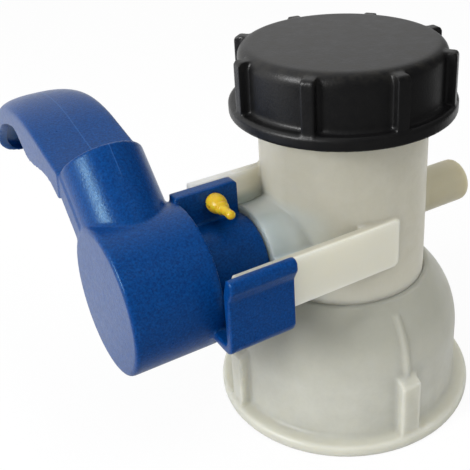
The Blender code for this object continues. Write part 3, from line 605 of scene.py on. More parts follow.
tube_thread = thread(
    "tube_thread", TUBE_R, TUBE_THREAD_R, bottom=0.1145, turns=2.2, width=0.0026
)
body_forms = [tube, barrel, boss, fin, fin_root, web, gusset, tube_thread]
print("forms of the body:", len(body_forms))

# %% Valve body: one skin, then its bores
STEM_BORE_R = 0.0085
GLAND_BORE_R = 0.0110
GLAND_FLOOR = -0.0321
PIVOT_BORE_R = 0.0057
PIVOT_FLOOR = 0.0475
PAST_BARREL = -0.0450
PAST_TUBE = 0.1400


def bore(name, radius, start, end, axis=ALONG_STEM, steps=SMALL):
    return turn(name, [(0, start), (radius, start), (radius, end), (0, end)], axis, steps)


valve_body = mould("body_moulding", body_forms, grain=0.00060, rounds=4, keep=0.86)
cut(
    valve_body,
    bore("flow_bore", BORE_R, PAST_TUBE, 0, UPRIGHT, 128),
    bore("stem_bore", STEM_BORE_R, PAST_BARREL, 0),
    bore("gland_bore", GLAND_BORE_R, PAST_BARREL, GLAND_FLOOR),
    bore("pivot_bore", PIVOT_BORE_R, 0, PIVOT_FLOOR, steps=TINY),
)
shade(valve_body)
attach(valve_body, "valve_body")
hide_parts("valve_body")

# %% [markdown]
# The handle is the piece with the most in it: a deep hub over the stem, the ring behind it, a flat
# tab for the locking pin, a J-shaped hook that takes the web, a neck like a stub of pipe on a
# flat-sided core, and a hollow lever that curls over at its end. Hub and ring are turned, the tab
# and the hook are plates, and each is a form of its own until all of them become one skin.

# %% Handle: hub, ring, tab and hook
RING_R = 0.0137
HUB_EDGE = 0.0013
HUB_FLOOR = HUB_FACE - 0.0040
HUB_WALL = 0.0035
hub = turn(
    "hub",
    [
        (0, -RING_END),
        (RING_R, -RING_END),
        (RING_R, -HUB_FLOOR),
        (HUB_R - HUB_WALL, -HUB_FLOOR),
        (HUB_R - HUB_WALL, -HUB_REAR),
        (HUB_R, -HUB_REAR),
        *bend((HUB_R - HUB_EDGE, -HUB_FACE + HUB_EDGE), HUB_EDGE, 0, -90),
        (0, -HUB_FACE),
    ],
    ALONG_STEM,
    LARGE,
)
TAB_CORNER = 0.0016
tab = slab(
    "tab",
    (-HUB_REAR - 0.0006, 0.0049, STEM_Z + 0.0066),
    (-RING_END - 0.0004, 0.0099, STEM_Z + 0.0250),
)
round_edges(tab, lambda p: p.x > -RING_END - 0.002 and p.z > STEM_Z + 0.02, TAB_CORNER)
HOOK_WALL = 0.0034
HOOK_IN = WEB_OUTER - 0.0006
HOOK_OUT = HOOK_IN - HOOK_WALL
HOOK_FLOOR = -0.0077
HOOK_FOOT = HOOK_FLOOR - HOOK_WALL
HOOK_BEND = 0.0046
HOOK_MOUTH = -0.0066
HOOK_TOP = 0.0168
HOOK_END = -RING_END - 0.0038
HOOK_START = -RING_END - 0.0266


def square_to_stem(name, outline, start, end):
    """A plate along the stem from an outline of (Y, height over the stem) points."""
    corners = [(start, y, STEM_Z + height) for y, height in outline]
    return plate(name, corners, (end - start, 0, 0))


hook = square_to_stem(
    "hook",
    [
        (HOOK_MOUTH, HOOK_FLOOR),
        (HOOK_MOUTH, HOOK_FOOT),
        *bend((HOOK_OUT + HOOK_BEND, HOOK_FOOT + HOOK_BEND), HOOK_BEND, 270, 180, 8),
        *bend((HOOK_OUT - 0.0010, 0.0092), 0.0010, 0, 60, 3),
        *bend((HOOK_OUT - 0.0012, 0.0138), 0.0012, 200, 140, 3),
        (HOOK_OUT - 0.0022, HOOK_TOP - 0.0010),
        (HOOK_OUT - 0.0012, HOOK_TOP),
        (HOOK_IN - 0.0026, HOOK_TOP),
        (HOOK_IN - 0.0018, HOOK_TOP - 0.0006),
        (HOOK_IN, 0.0109),
        (HOOK_IN, HOOK_FLOOR + 0.0012),
        (HOOK_IN + 0.0012, HOOK_FLOOR),
    ],
    HOOK_START,
    HOOK_END,
)
print("hub, tab and hook ready")

# %% [markdown]
# The neck leaves the hub at 43.5 degrees. It is a round column cut flat on its under side, set on a
# core whose flat sides run on into the sides of the lever.

# %% Handle: neck
NECK_ANGLE = math.radians(43.5)
NECK_LENGTH = 0.0438
NECK_R = 0.0139
NECK_OFFSET = 0.0043
CORE_BELOW = -0.0047
CORE_ABOVE = 0.0033
WALL = 0.0032


def neck_point(along, bulge):
    y = along * math.cos(NECK_ANGLE) - bulge * math.sin(NECK_ANGLE)
    return y, along * math.sin(NECK_ANGLE) + bulge * math.cos(NECK_ANGLE)


def neck_column(name, radius, start, end):
    out = Vector((1, 0, 0))
    along = Vector((0, math.cos(NECK_ANGLE), math.sin(NECK_ANGLE)))
    y, height = neck_point(0, NECK_OFFSET)
    foot = Vector((-HUB_MIDDLE, y, STEM_Z + height))
    return bore(name, radius, start, end, (out, along, foot), MEDIUM)


def neck_slab(name, side, start, end, below, above):
    ends = ((start, below), (end, below), (end, above), (start, above))
    corners = [neck_point(along, bulge) for along, bulge in ends]
    return square_to_stem(name, corners, -HUB_FACE + side, -HUB_REAR - side)


column = neck_column("column", NECK_R, NECK_R / 2, NECK_LENGTH)
core = neck_slab("core", 0.0003, NECK_R / 2, NECK_LENGTH - 0.0004, CORE_BELOW, CORE_ABOVE)
cut(column, neck_slab("under", -0.010, -0.02, 0.08, -0.03, CORE_BELOW + 0.001))
print("neck ready")

# %% [markdown]
# The lever is a channel, open below. Its section changes as it goes: nearly flat on top and square
# at the shoulders by the neck, crowned and soft at the curl, with flanges that deepen in the
# middle. The first section is a filled ring of corners, and each station adds one extrusion and
# puts its corners in place. A curve could sweep a section along, but the section could not change
# on its way.

# %% Handle: lever
LEVER_RISE = math.radians(9.5)
LEVER_SINK = 0.0010
STRAIGHT = 0.0215
BACK_ARC = 0.0850 * math.radians(28.5)
CURL_ARC = 0.0310 * math.radians(56)
# Each stretch is its length, the angle that it swings down by, and its number of stations.
LEVER_STRETCHES = (
    (STRAIGHT, 0.0, 10),
    (BACK_ARC, math.radians(28.5), 20),
    (CURL_ARC, math.radians(60), 26),
)
# Each table gives a size at places along the lever's back.
FLANGES = ((0.000, 0.0098), (0.009, 0.0078), (0.033, 0.0123), (0.051, 0.0038))
CROWNS = ((0, 0.0012), (STRAIGHT + BACK_ARC, 0.0052))
SQUARENESS = ((0, 7.0), (STRAIGHT + BACK_ARC, 2.6))
TIP_CORNER = 0.0080
STEPS_ACROSS = 32


def between(table, at):
    if at <= table[0][0]:
        return table[0][1]
    for (start, low), (end, high) in zip(table, table[1:]):
        if at <= end:
            share = (at - start) / (end - start)
            return low + (high - low) * (1 - math.cos(math.pi * share)) / 2
    return table[-1][1]


def lever_stations():
    y, height = neck_point(NECK_LENGTH, CORE_ABOVE - LEVER_SINK)
    heading, at = LEVER_RISE, 0.0
    stations = [(at, y, height, heading)]
    for length, swing, steps in LEVER_STRETCHES:
        for _ in range(steps):
            middle = heading - swing / steps / 2
            y += length / steps * math.cos(middle)
            height += length / steps * math.sin(middle)
            heading -= swing / steps
            at += length / steps
            stations.append((at, y, height, heading))
    return stations


def lever_section(at, length):
    """(offset along X, rise) points: over the outside from flange to flange, then back inside."""
    crown = between(CROWNS, at)
    power = 2 / between(SQUARENESS, at)
    flange = max(between(FLANGES, at), WALL + 0.0006)
    half = (HUB_FACE - HUB_REAR) / 2
    into_tip = at - (length - TIP_CORNER)
    if into_tip > 0:
        half -= TIP_CORNER - math.sqrt(max(TIP_CORNER**2 - into_tip**2, 0))
    rows = []
    for width, drop in ((half, 0.0), (half - WALL, WALL)):
        row = [(-width, -flange)]
        for step in range(STEPS_ACROSS + 1):
            angle = math.pi * step / STEPS_ACROSS
            across = -math.copysign(abs(math.cos(angle)) ** power, math.cos(angle))
            row.append((across * width, crown * abs(math.sin(angle)) ** power - drop))
        row.append((width, -flange))
        rows.append(row)
    return rows[0] + rows[1][::-1]


def place_section(station, length):
    at, y, height, heading = station
    corners = []
    for across, r in lever_section(at, length):
        up = STEM_Z + height + r * math.cos(heading)
        corners.append(Vector((-HUB_MIDDLE + across, y - r * math.sin(heading), up)))
    return corners


stations = lever_stations()
lever_length = stations[-1][0]
corners = place_section(stations[0], lever_length)
lever = filled_ring("lever", corners)
for station in stations[1:]:
    following = place_section(station, lever_length)
    bpy.ops.mesh.extrude_region_move()
    shape = bmesh.from_edit_mesh(lever.data)
    for vert in shape.verts:
        if vert.select:
            gaps = [(corner - vert.co).length_squared for corner in corners]
            vert.co = following[gaps.index(min(gaps))]
    bmesh.update_edit_mesh(lever.data)
    corners = following
bpy.ops.mesh.select_all(action="SELECT")
bpy.ops.mesh.normals_make_consistent(inside=False)
close_piece()
print("lever", round(lever_length / MM, 1), "mm along its back,", len(stations), "stations")

# %% [markdown]
# The neck is hollow from below, and its hollow opens into the lever's channel. It is made a skin of
# its own and hollowed before it meets the rest, so that the cuts don't reach the lever. Then all
# the forms become one skin, and the square socket for the stem is cut. A last pass through the
# voxels softens the edges that cuts left.

# %% Handle: hollow neck
UNDER = CORE_BELOW - WALL
PASSAGE_SPARE = 0.0006
neck = mould("neck", [column, core], grain=0.00060, rounds=0)
hollows = [
    neck_column("hollow", NECK_R - WALL, 0, NECK_LENGTH - WALL),
    neck_slab("hollow_slab", WALL, -0.0006, NECK_LENGTH - WALL, UNDER, CORE_ABOVE - WALL),
    neck_slab(
        "passage",
        WALL + PASSAGE_SPARE,
        -0.0012,
        NECK_LENGTH * 2,
        UNDER - PASSAGE_SPARE,
        CORE_BELOW + WALL / 2,
    ),
]
hub_room = bore("hub_room", HUB_R - 0.0018, -HUB_FACE - 0.002, -HUB_REAR + 0.001, steps=MEDIUM)
cut(neck, mould("hollow", hollows, grain=0.00060, rounds=0), hub_room)
print("neck hollowed")

# %% Handle: one skin, then its socket
SOCKET_HALF = 0.0063
handle = mould("handle_moulding", [hub, tab, hook, neck, lever], grain=0.00050, rounds=0)
socket = slab(
    "socket",
    (-HUB_FACE + 0.0055, -SOCKET_HALF, STEM_Z - SOCKET_HALF),
    (-RING_END + 0.0006, SOCKET_HALF, STEM_Z + SOCKET_HALF),
)
cut(handle, socket)
handle = mould("handle_moulding", [handle], grain=0.00050, rounds=2, keep=0.60)
shade(handle)
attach(handle, "handle")
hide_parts("handle")

# %% [markdown]
# The locking pin is a small yellow snap pin: a split shank that springs through the tab, a bulb
# that keeps it from falling back, a step and a rounded nipple where the security strip was torn
# off. Stacked cylinders could make it, but one turned section holds all its steps and curves.

# %% Locking pin
PIN_X = -RING_END - 0.0098
PIN_Z = STEM_Z + 0.0205
PIN_AXIS = (Vector((1, 0, 0)), Vector((0, -1, 0)), Vector((PIN_X, 0, PIN_Z)))
SHANK_R = 0.0018
SHANK_END = -0.0096
BULB_R = 0.0033
BULB_BACK = -0.0046
BULB_LENGTH = 0.0055
BULB_WIDEST = 0.4
STEP_R = 0.0023
NIPPLE_R = 0.0016
SLOT_HALF = 0.0004
bulb_front = BULB_BACK + BULB_LENGTH
step_front = bulb_front + 0.0014
nipple_end = step_front + 0.0062
bulb = []
for share in (0.0, 0.06, 0.15, 0.28, 0.4, 0.52, 0.65, 0.76, 0.85, 0.93, 1.0):
    swell = math.sqrt(1 - ((share - BULB_WIDEST) / 0.8) ** 2)
    bulb.append((BULB_R * swell, BULB_BACK + BULB_LENGTH * share))
pin = turn(
    "pin",
    [
        (0, SHANK_END),
        (SHANK_R, SHANK_END),
        (SHANK_R, BULB_BACK),
        *bulb,
        (STEP_R, bulb_front + 0.0002),
        (STEP_R, step_front - 0.0003),
        (0.00195, step_front),
        (0.00165, step_front + 0.0004),
        (0.00140, step_front + 0.0030),
        *bend((0, nipple_end - NIPPLE_R), NIPPLE_R, 15, 90, 6)[:-1],
        (0, nipple_end),
    ],
    PIN_AXIS,
    TINY,
)
slot_tool = slab(
    "slot_tool",
    (PIN_X - 0.01, -bulb_front + 0.0018, PIN_Z - SLOT_HALF),
    (PIN_X + 0.01, 0.0106, PIN_Z + SLOT_HALF),
)
cut(pin, slot_tool)
locking_pin = mould("pin_moulding", [pin], grain=0.00012, rounds=3)
shade(locking_pin)
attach(locking_pin, "locking_pin")
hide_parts("locking_pin")

# %% [markdown]
# Each finish is a material that starts from what the real one is. One function turns a hex colour
# into the linear values that the shader takes, and one works out a noise's scale from the size that
# its spots have on the real thing. One adds a node with its settings and its links, and one feeds
# the shader.

# %% Helpers for materials
POLYETHYLENE_IOR = 1.51


def colour(code):
    parts = [int(code[i:i + 2], 16) / 255 for i in (1, 3, 5)]
    return (*[p / 12.92 if p <= 0.04045 else ((p + 0.055) / 1.055) ** 2.4 for p in parts], 1)


def spots(size):
    """The scale of a noise whose spots are this many millimetres across."""
    return 1 / (size * MM)


# A noise stays mostly between these two values, so they are spread over each range of gloss.
WANDER = {"From_Min": 0.3, "From_Max": 0.7}


def node(tree, kind, links=(), values=(), **settings):
    """Adds a node: links are (socket, from socket), values are (socket, value)."""
    made = tree.nodes.new(kind)
    for key, value in settings.items():
        if hasattr(made, key):
            setattr(made, key, value)
        else:
            made.inputs[key.replace("_", " ")].default_value = value
    for socket, value in values:
        made.inputs[socket].default_value = value
    for socket, source in links:
        tree.links.new(source, made.inputs[socket])
    return made


def finish_of(name):
    """A new material: its node tree, its Principled shader and the object's own coordinates."""
    material = bpy.data.materials.new(name)
    material.use_nodes = True
    tree = material.node_tree
    shader = tree.nodes["Principled BSDF"]
    place = tree.nodes.new("ShaderNodeTexCoord").outputs["Object"]
    return material, tree, shader, place


def feed(shader, **sockets):
    """Sets each of the shader's sockets to a value, or links it to another node's socket."""
    for key, source in sockets.items():
        socket = shader.inputs[key.replace("_", " ")]
        if isinstance(source, bpy.types.NodeSocket):
            shader.id_data.links.new(source, socket)
        else:
            socket.default_value = source


def wear(piece, material):
    piece.data.materials.clear()
    piece.data.materials.append(material)


# %% [markdown]
# Natural polyethylene is the milky plastic of the body, the nut and the disc. It is translucent, so
# light soaks about a centimetre into it and softens every shadow. It is a little yellow where it is
# thick, and paler or bluish where it is thin and light comes through from behind. Real light could
# do that with a volume, at a high cost in time, so those places are tinted by where they lie: the
# web and the fin get painted backlight, the barrel a painted blue light from the handle, and the
# tube's left and the nut's shoulder painted shade. Its skin is satin, with a very fine grain from
# the mould and soft clouds of tone.

# %% Helper to tint a place
def tint(tree, place, under, code, share, *limits):
    """Mixes a colour in where all the limits hold. A limit is (direction, from, to) in metres."""
    amount = None
    for direction, start, end in limits:
        way = [(1, direction)]
        along = node(tree, "ShaderNodeVectorMath", [(0, place)], way, operation="DOT_PRODUCT")
        along = [("Value", along.outputs["Value"])]
        most = 1.0 if amount else share
        ramp = node(tree, "ShaderNodeMapRange", along, From_Min=start, From_Max=end, To_Max=most)
        if amount:
            both = [(0, amount), (1, ramp.outputs["Result"])]
            amount = node(tree, "ShaderNodeMath", both, operation="MULTIPLY").outputs["Value"]
        else:
            amount = ramp.outputs["Result"]
    mix = [("Factor", amount), (6, under)]
    return node(tree, "ShaderNodeMix", mix, [(7, colour(code))], data_type="RGBA").outputs[2]


# %% Natural polyethylene, injection moulded
def natural_polyethylene(name, pale, deep, tints=()):
    material, tree, shader, place = finish_of(name)
    at = [("Vector", place)]

    # The melt leaves clouds of tone about a centimetre across.
    clouds = node(tree, "ShaderNodeTexNoise", at, Scale=spots(11.1), Detail=8.0, Roughness=0.75)
    cloudy = [("Value", clouds.outputs["Fac"])]
    tone = node(tree, "ShaderNodeMapRange", cloudy, From_Min=0.38, From_Max=0.62)
    mix = [("Factor", tone.outputs["Result"])]
    tones = [(6, colour(deep)), (7, colour(pale))]
    paint = node(tree, "ShaderNodeMix", mix, tones, data_type="RGBA").outputs[2]
    for code, share, *limits in tints:
        paint = tint(tree, place, paint, code, share, *limits)
    feed(shader, Base_Color=paint)

    # Its gloss wanders over about 9 mm, as the skin cooled unevenly.
    streaks = node(tree, "ShaderNodeTexNoise", at, Scale=spots(9.1), Detail=6.0, Roughness=0.6)
    streaked = [("Value", streaks.outputs["Fac"])]
    gloss = node(tree, "ShaderNodeMapRange", streaked, **WANDER, To_Min=0.34, To_Max=0.48)
    feed(shader, Roughness=gloss.outputs["Result"])

    # The mould's grain is about 0.1 mm, too fine to show, so it is drawn at 0.6 mm.
    grain = node(tree, "ShaderNodeTexNoise", at, Scale=spots(0.625), Detail=2.0)
    raised = [("Height", grain.outputs["Fac"])]
    fine = node(tree, "ShaderNodeBump", raised, Strength=0.10, Distance=0.0002)

    # Sink marks swell the skin softly over about a centimetre.
    swell = node(tree, "ShaderNodeTexNoise", at, Scale=spots(11.1), Detail=2.0)
    raised = [("Height", swell.outputs["Fac"]), ("Normal", fine.outputs["Normal"])]
    soft = node(tree, "ShaderNodeBump", raised, Strength=0.12, Distance=0.0006)
    feed(shader, Normal=soft.outputs["Normal"], IOR=POLYETHYLENE_IOR, Subsurface_Weight=0.9)
    feed(shader, Subsurface_Radius=(1.0, 0.92, 0.75), Subsurface_Scale=0.010)
    return material


X, Y, Z = (1, 0, 0), (0, 1, 0), (0, 0, 1)
# Painted shade: the tube is darker on its left, high up by the handle.
PAINTED_SHADE_TUBE_LEFT = ("#a9a79a", 0.38, (X, 0.012, -0.016), (Z, 0.0600, 0.0760))
# Painted light: the barrel is tinted blue, as by light from the blue handle beside it.
PAINTED_BLUE_LIGHT_BARREL = ("#b2c3c9", 0.65, (X, -0.018, -0.036), (Y, -0.026, -0.021), (Z, 0.088, 0.083))
YELLOWED_BOSS = ("#aea68a", 0.75, (X, 0.0285, 0.0340))
# Painted backlight: the web's face and the fin are paler, as with light coming through from behind.
PAINTED_BACKLIGHT_WEB = ("#dad8ca", 0.90, (Y, -0.0293, -0.0301))
PAINTED_BACKLIGHT_FIN = ("#eeece2", 0.95, (X, -0.028, -0.038), (Z, 0.0835, 0.0865))
PALE_FOOT = ("#d4d1c2", 0.70, (Z, 0.0660, 0.0520))
# Painted shade: the nut's shoulder, under the tube and the hook, is greyer.
PAINTED_SHADE_NUT_SHOULDER = ("#9c9c90", 0.65, (Z, 0.0240, 0.0420))
PALE_RIM = ("#c6c6bb", 0.50, (Z, 0.0070, 0.0040))
body_plastic = natural_polyethylene(
    "natural_polyethylene_body",
    "#c4c1b3",
    "#bcb9aa",
    [PAINTED_SHADE_TUBE_LEFT, PAINTED_BLUE_LIGHT_BARREL, YELLOWED_BOSS, PAINTED_BACKLIGHT_WEB, PAINTED_BACKLIGHT_FIN, PALE_FOOT],
)
nut_plastic = natural_polyethylene(
    "natural_polyethylene_nut", "#c2c2b8", "#babab0", [PAINTED_SHADE_NUT_SHOULDER, PALE_RIM]
)
disc_plastic = natural_polyethylene("natural_polyethylene_disc", "#c6c3b5", "#bcb8a8")
wear(valve_body, body_plastic)
wear(coupling_nut, nut_plastic)
print("worn:", [piece.active_material.name for piece in (valve_body, coupling_nut)])

# %% [markdown]
# The cap is the same plastic coloured with carbon black. Its skin is duller and coarser, with a
# sand-like grain that breaks each highlight up. Its top is paler in patches: light scuffs from being
# stacked and gripped, and with them a painted sheen, the bright room above mirrored in the top. The
# scuffs could be painted on, but a noise held back by height stays sharp at any distance.

# %% Black polyethylene, grained
def black_polyethylene(name):
    material, tree, shader, place = finish_of(name)
    at = [("Vector", place)]

    # Scuffs and painted sheen lie in patches about 4 mm long on the top, with hardly any down the
    # sides.
    scuffs_and_sheen = node(tree, "ShaderNodeTexNoise", at, Scale=spots(4.17), Detail=8.0, Roughness=0.7)
    scuffed_and_sheen = [("Value", scuffs_and_sheen.outputs["Fac"])]
    axes = node(tree, "ShaderNodeSeparateXYZ", at)
    ends = {"From_Min": CAP_TOP - 0.004, "From_Max": CAP_TOP - 0.0008}
    height = [("Value", axes.outputs["Z"])]
    on_top = node(tree, "ShaderNodeMapRange", height, **ends, To_Min=0.08)
    pale_patches = node(tree, "ShaderNodeMapRange", scuffed_and_sheen, From_Min=0.45, From_Max=0.75)
    both = [(0, pale_patches.outputs["Result"]), (1, on_top.outputs["Result"])]
    share = node(tree, "ShaderNodeMath", both, operation="MULTIPLY")
    mix = [("Factor", share.outputs["Value"])]
    tones = [(6, colour("#0e0e0f")), (7, colour("#2a2823"))]
    base = node(tree, "ShaderNodeMix", mix, tones, data_type="RGBA")
    feed(shader, Base_Color=base.outputs[2])
    gloss = node(tree, "ShaderNodeMapRange", scuffed_and_sheen, **WANDER, To_Min=0.36, To_Max=0.46)
    feed(shader, Roughness=gloss.outputs["Result"])

    # The sand-like grain is about 0.3 mm, too fine to show, so it is drawn at 0.7 mm.
    sand = node(tree, "ShaderNodeTexNoise", at, Scale=spots(0.714), Detail=3.0)
    raised = [("Height", sand.outputs["Fac"])]
    fine = node(tree, "ShaderNodeBump", raised, Strength=0.30, Distance=0.0002)
    feed(shader, Normal=fine.outputs["Normal"], IOR=POLYETHYLENE_IOR)
    return material


wear(outlet_cap, black_polyethylene("black_polyethylene_cap"))
print("worn:", outlet_cap.active_material.name)

# %% [markdown]
# The handle is polyethylene coloured blue right through. It was moulded in a tool with a fine
# spark-eroded texture, which breaks a highlight into sparkles, and handling has left faint pale
# rubs on it. The two halves of the tool met in the middle of the lever, where a hairline seam is
# left. A noise in the roughness could glitter too, but a bump breaks the highlight as the texture
# does.

# %% Blue polyethylene, spark grained
SEAM_HALF = 0.00008
SEAM_FADES = 0.00026


def blue_polyethylene(name):
    material, tree, shader, place = finish_of(name)
    at = [("Vector", place)]

    # The pigment's specks are about 0.2 mm, too fine to show, so they are drawn at 0.7 mm.
    speckle = node(tree, "ShaderNodeTexNoise", at, Scale=spots(0.667), Detail=4.0, Roughness=0.6)
    specks = [("Value", speckle.outputs["Fac"])]
    tone = node(tree, "ShaderNodeMapRange", specks, From_Min=0.35, From_Max=0.65)
    mix = [("Factor", tone.outputs["Result"])]
    tones = [(6, colour("#002b66")), (7, colour("#014286"))]
    base = node(tree, "ShaderNodeMix", mix, tones, data_type="RGBA")

    # Rubs from handling are about 2 mm across.
    rubs = node(tree, "ShaderNodeTexNoise", at, Scale=spots(2.0), Detail=8.0, Roughness=0.75)
    worn = [("Value", rubs.outputs["Fac"])]
    pale_patches = node(tree, "ShaderNodeMapRange", worn, From_Min=0.58, From_Max=0.85, To_Max=0.20)
    mix = [("Factor", pale_patches.outputs["Result"]), (6, base.outputs[2])]
    paint = node(tree, "ShaderNodeMix", mix, [(7, colour("#4070b2"))], data_type="RGBA").outputs[2]

    # The seam is 0.16 mm wide and fades out over 0.18 mm more on each side.
    axes = node(tree, "ShaderNodeSeparateXYZ", at)
    from_axis = [(0, axes.outputs["X"])]
    aside = node(tree, "ShaderNodeMath", from_axis, [(1, HUB_MIDDLE)], operation="ADD")
    apart = node(tree, "ShaderNodeMath", [(0, aside.outputs["Value"])], operation="ABSOLUTE")
    apart = [("Value", apart.outputs["Value"])]
    ends = {"From_Min": SEAM_HALF, "From_Max": SEAM_FADES}
    seam = node(tree, "ShaderNodeMapRange", apart, **ends, To_Min=1.0, To_Max=0.0)
    seam_paint = tint(tree, place, paint, "#3a6cb0", 0.35, (Y, 0.010, 0.012))
    mix = [("Factor", seam.outputs["Result"]), (6, paint), (7, seam_paint)]
    faint = node(tree, "ShaderNodeMix", mix, data_type="RGBA")
    feed(shader, Base_Color=faint.outputs[2])
    gloss = node(tree, "ShaderNodeMapRange", worn, **WANDER, To_Min=0.26, To_Max=0.38)
    feed(shader, Roughness=gloss.outputs["Result"])

    # The spark-eroded texture is about 0.2 mm, too fine to show, so it is drawn at 0.8 mm.
    sparks = node(tree, "ShaderNodeTexNoise", at, Scale=spots(0.769), Detail=3.0, Roughness=0.6)
    raised = [("Height", sparks.outputs["Fac"])]
    fine = node(tree, "ShaderNodeBump", raised, Strength=0.40, Distance=0.0002)
    raised = [("Height", seam.outputs["Result"]), ("Normal", fine.outputs["Normal"])]
    ridge = node(tree, "ShaderNodeBump", raised, Strength=0.15, Distance=0.0001)
    feed(shader, Normal=ridge.outputs["Normal"], IOR=POLYETHYLENE_IOR, Specular_IOR_Level=0.42)
    feed(shader, Specular_Tint=colour("#bcedff"), Subsurface_Weight=0.1, Subsurface_Scale=0.001)
    return material


wear(handle, blue_polyethylene("blue_polyethylene_handle"))
print("worn:", handle.active_material.name)

# %% [markdown]
# The pin is yellow polyethylene, smooth and a little translucent. The same kind of finish, with its
# own colours, gloss and size of clouds, serves the small inner pieces of rubber and polypropylene.

# %% Yellow polyethylene
def plain_moulding(name, light, dark, rough, soak, cloud):
    """A small moulding: two close tones in clouds of this size in millimetres, and a grain."""
    material, tree, shader, place = finish_of(name)
    at = [("Vector", place)]
    clouds = node(tree, "ShaderNodeTexNoise", at, Scale=spots(cloud), Detail=4.0)
    cloudy = [("Value", clouds.outputs["Fac"])]
    tone = node(tree, "ShaderNodeMapRange", cloudy, **WANDER)
    mix = [("Factor", tone.outputs["Result"])]
    tones = [(6, colour(dark)), (7, colour(light))]
    base = node(tree, "ShaderNodeMix", mix, tones, data_type="RGBA")
    feed(shader, Base_Color=base.outputs[2])
    low, high = rough - 0.05, rough + 0.05
    gloss = node(tree, "ShaderNodeMapRange", cloudy, **WANDER, To_Min=low, To_Max=high)
    feed(shader, Roughness=gloss.outputs["Result"])

    # A smooth mould's grain is under 0.1 mm, too fine to show, so it is drawn at 0.4 mm.
    grain = node(tree, "ShaderNodeTexNoise", at, Scale=spots(0.4), Detail=2.0)
    raised = [("Height", grain.outputs["Fac"])]
    fine = node(tree, "ShaderNodeBump", raised, Strength=0.15, Distance=0.0001)
    feed(shader, Normal=fine.outputs["Normal"], Subsurface_Weight=soak, Subsurface_Scale=0.001)
    return material


yellow = plain_moulding("yellow_polyethylene_pin", "#d8ba28", "#cca81e", 0.32, 0.3, 2.5)
wear(locking_pin, yellow)
print("worn:", locking_pin.active_material.name)

# %% [markdown]
# The inner pieces show only from below, or when the cap is off, and keep their CAD meshes. The
# seals are black rubber, dull with a dusty bloom. The bushes and the stem are white polypropylene.
# The disc's pin is drawn stainless wire with fine lines along it.

# %% Inner pieces
rubber = plain_moulding("black_nitrile_rubber", "#2a2a2b", "#1c1c1d", 0.62, 0.0, 3.33)
polypropylene = plain_moulding("white_polypropylene", "#dddbd2", "#cfcdc3", 0.38, 0.3, 5.0)


def drawn_stainless(name):
    """Lines along the wire, about 0.02 mm apart. They are drawn at 0.2 mm so that they show."""
    material, tree, shader, place = finish_of(name)
    along_wire = [("Scale", (1.0, 1.0, 0.02))]
    stretched = node(tree, "ShaderNodeMapping", [("Vector", place)], along_wire)
    at = [("Vector", stretched.outputs["Vector"])]
    lines = node(tree, "ShaderNodeTexNoise", at, Scale=spots(0.2), Detail=2.0)
    lined = [("Value", lines.outputs["Fac"])]
    gloss = node(tree, "ShaderNodeMapRange", lined, **WANDER, To_Min=0.22, To_Max=0.36)
    feed(shader, Roughness=gloss.outputs["Result"], Base_Color=colour("#b9bab8"), Metallic=1.0)
    return material


for name in ("coupling_gasket", "cap_gasket", "disc_seal", "stem_oring_outer", "stem_oring_inner"):
    wear(frame["nodes"][name], rubber)
for name in ("stem", "gland_bush", "pivot_bush"):
    wear(frame["nodes"][name], polypropylene)
wear(frame["nodes"]["disc"], disc_plastic)
wear(frame["nodes"]["disc_pin"], drawn_stainless("drawn_stainless_steel"))
print("finishes:", len(bpy.data.materials))

# %% [markdown]
# The valve stands on its nut on a plain pale floor. A shadow catcher would need a second step to
# add the white, so the floor glows instead. The camera sees most of the floor as plain white, and
# the rest still takes the soft shadow under the nut. The world is white to the camera too, and a
# level grey to light by. In reflections both are dark on the side of the room, in front, and white
# on the side of the backdrop, as in a studio.

# %% Floor
FLOOR_HALF = 3.0
WHITE_SHARE = 0.88
FLOOR_WHITE = 1.02
FLOOR_BACKWARDS = (0.10, 0.98, 0)
MIRRORED_FRONT = 0.10
MIRRORED_BACK = 1.05
hold()
bpy.ops.mesh.primitive_plane_add(size=2 * FLOOR_HALF, location=(0, 0, 0))
floor = bpy.context.object
floor.name = "floor"
bpy.ops.object.transform_apply(location=True, rotation=True, scale=True)
floor_material, tree, shader, place = finish_of("pale_floor")
rays = tree.nodes.new("ShaderNodeLightPath").outputs
both = [(0, rays["Is Camera Ray"]), (1, rays["Is Transmission Ray"])]
seen = [(0, node(tree, "ShaderNodeMath", both, operation="MAXIMUM").outputs["Value"])]
most = node(tree, "ShaderNodeMath", seen, [(1, WHITE_SHARE)], operation="MULTIPLY")
both = [(0, most.outputs["Value"]), (1, rays["Is Glossy Ray"])]
shown = node(tree, "ShaderNodeMath", both, operation="MAXIMUM")
backwards = [(1, FLOOR_BACKWARDS)]
away = node(tree, "ShaderNodeVectorMath", [(0, place)], backwards, operation="DOT_PRODUCT")
away = [("Value", away.outputs["Value"])]
ends = {"From_Min": -0.06, "From_Max": 0.07, "To_Min": MIRRORED_FRONT, "To_Max": MIRRORED_BACK}
mirrored = node(tree, "ShaderNodeMapRange", away, **ends)
mix = [("Factor", rays["Is Glossy Ray"]), (3, mirrored.outputs["Result"])]
strength = node(tree, "ShaderNodeMix", mix, [(2, FLOOR_WHITE)])
white = node(tree, "ShaderNodeEmission", [("Strength", strength.outputs[0])])

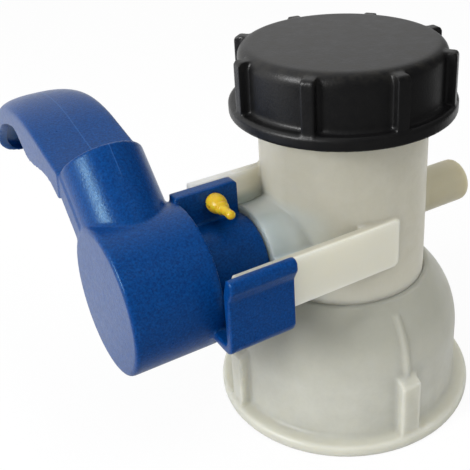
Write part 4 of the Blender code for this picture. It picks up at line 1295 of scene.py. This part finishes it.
# Its own tone drifts a little over a third of a metre.
mottle = node(tree, "ShaderNodeTexNoise", [("Vector", place)], Scale=spots(333), Detail=2.0)
drift = [("Value", mottle.outputs["Fac"])]
pale = node(tree, "ShaderNodeMapRange", drift, To_Min=0.80, To_Max=0.84)
feed(shader, Base_Color=pale.outputs["Result"], Roughness=0.9)
mix = [(0, shown.outputs["Value"]), (1, shader.outputs["BSDF"]), (2, white.outputs["Emission"])]
blend = node(tree, "ShaderNodeMixShader", mix)
tree.links.new(blend.outputs["Shader"], tree.nodes["Material Output"].inputs["Surface"])
wear(floor, floor_material)
floor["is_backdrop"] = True

# %% World
LIGHT_LEVEL = 0.72
ROOM_SIDE = 0.06
BACKDROP_SIDE = 0.75
BACKDROP_WAY = Vector((-0.25, 0.90, 0.35)).normalized()
world = bpy.data.worlds.new("studio")
bpy.context.scene.world = world
world.use_nodes = True
tree = world.node_tree
sky = tree.nodes["Background"]
sky.inputs["Color"].default_value = (1, 1, 1, 1)
rays = tree.nodes.new("ShaderNodeLightPath").outputs
towards = [(0, tree.nodes.new("ShaderNodeTexCoord").outputs["Generated"])]
backdrop = [(1, BACKDROP_WAY)]
behind = node(tree, "ShaderNodeVectorMath", towards, backdrop, operation="DOT_PRODUCT")
behind = [("Value", behind.outputs["Value"])]
ends = {"From_Min": 0.05, "From_Max": 0.60, "To_Min": ROOM_SIDE, "To_Max": BACKDROP_SIDE}
mirrored = node(tree, "ShaderNodeMapRange", behind, **ends)
mix = [("Factor", rays["Is Glossy Ray"]), (3, mirrored.outputs["Result"])]
by_gloss = node(tree, "ShaderNodeMix", mix, [(2, LIGHT_LEVEL)])
mix = [("Factor", rays["Is Camera Ray"]), (2, by_gloss.outputs[0])]
level = node(tree, "ShaderNodeMix", mix, [(3, 1.0)])
tree.links.new(level.outputs[0], sky.inputs["Strength"])

# %% [markdown]
# Two soft lamps: a broad one high in front, as from a light room, which no surface mirrors, and a
# window on the left, which gives the sparkling highlight along the neck of the handle.

# %% Lamps
LAMPS_AIM = Vector((-0.02, 0, 0.07))


def lamp(name, at, size, watts):
    light = bpy.data.lights.new(name, "AREA")
    light.shape = "RECTANGLE"
    light.size, light.size_y = size
    light.energy = watts
    obj = bpy.data.objects.new(name, light)
    obj.location = at
    obj.rotation_euler = (LAMPS_AIM - Vector(at)).to_track_quat("-Z", "Y").to_euler()
    bpy.context.scene.collection.objects.link(obj)
    return obj


overhead = lamp("overhead", (0.13, -0.43, 0.83), (0.30, 0.30), 1.6)
overhead.visible_glossy = False
lamp("window", (-0.80, -0.06, 0.45), (0.20, 0.30), 4.6)
bpy.context.scene.view_settings.view_transform = "Standard"
print("floor, world and", len(bpy.data.lights), "lamps ready")

# %% [markdown]
# The last cell prints the CAD model's box and the dressed model's box, one after the other, and
# closes the lesson.

# %% Sizes, then finish
dressed_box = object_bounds()
for name, box in (("CAD box", cad_box), ("dressed box", dressed_box)):
    print(name, [[round(v / MM, 1) for v in corner] for corner in box])
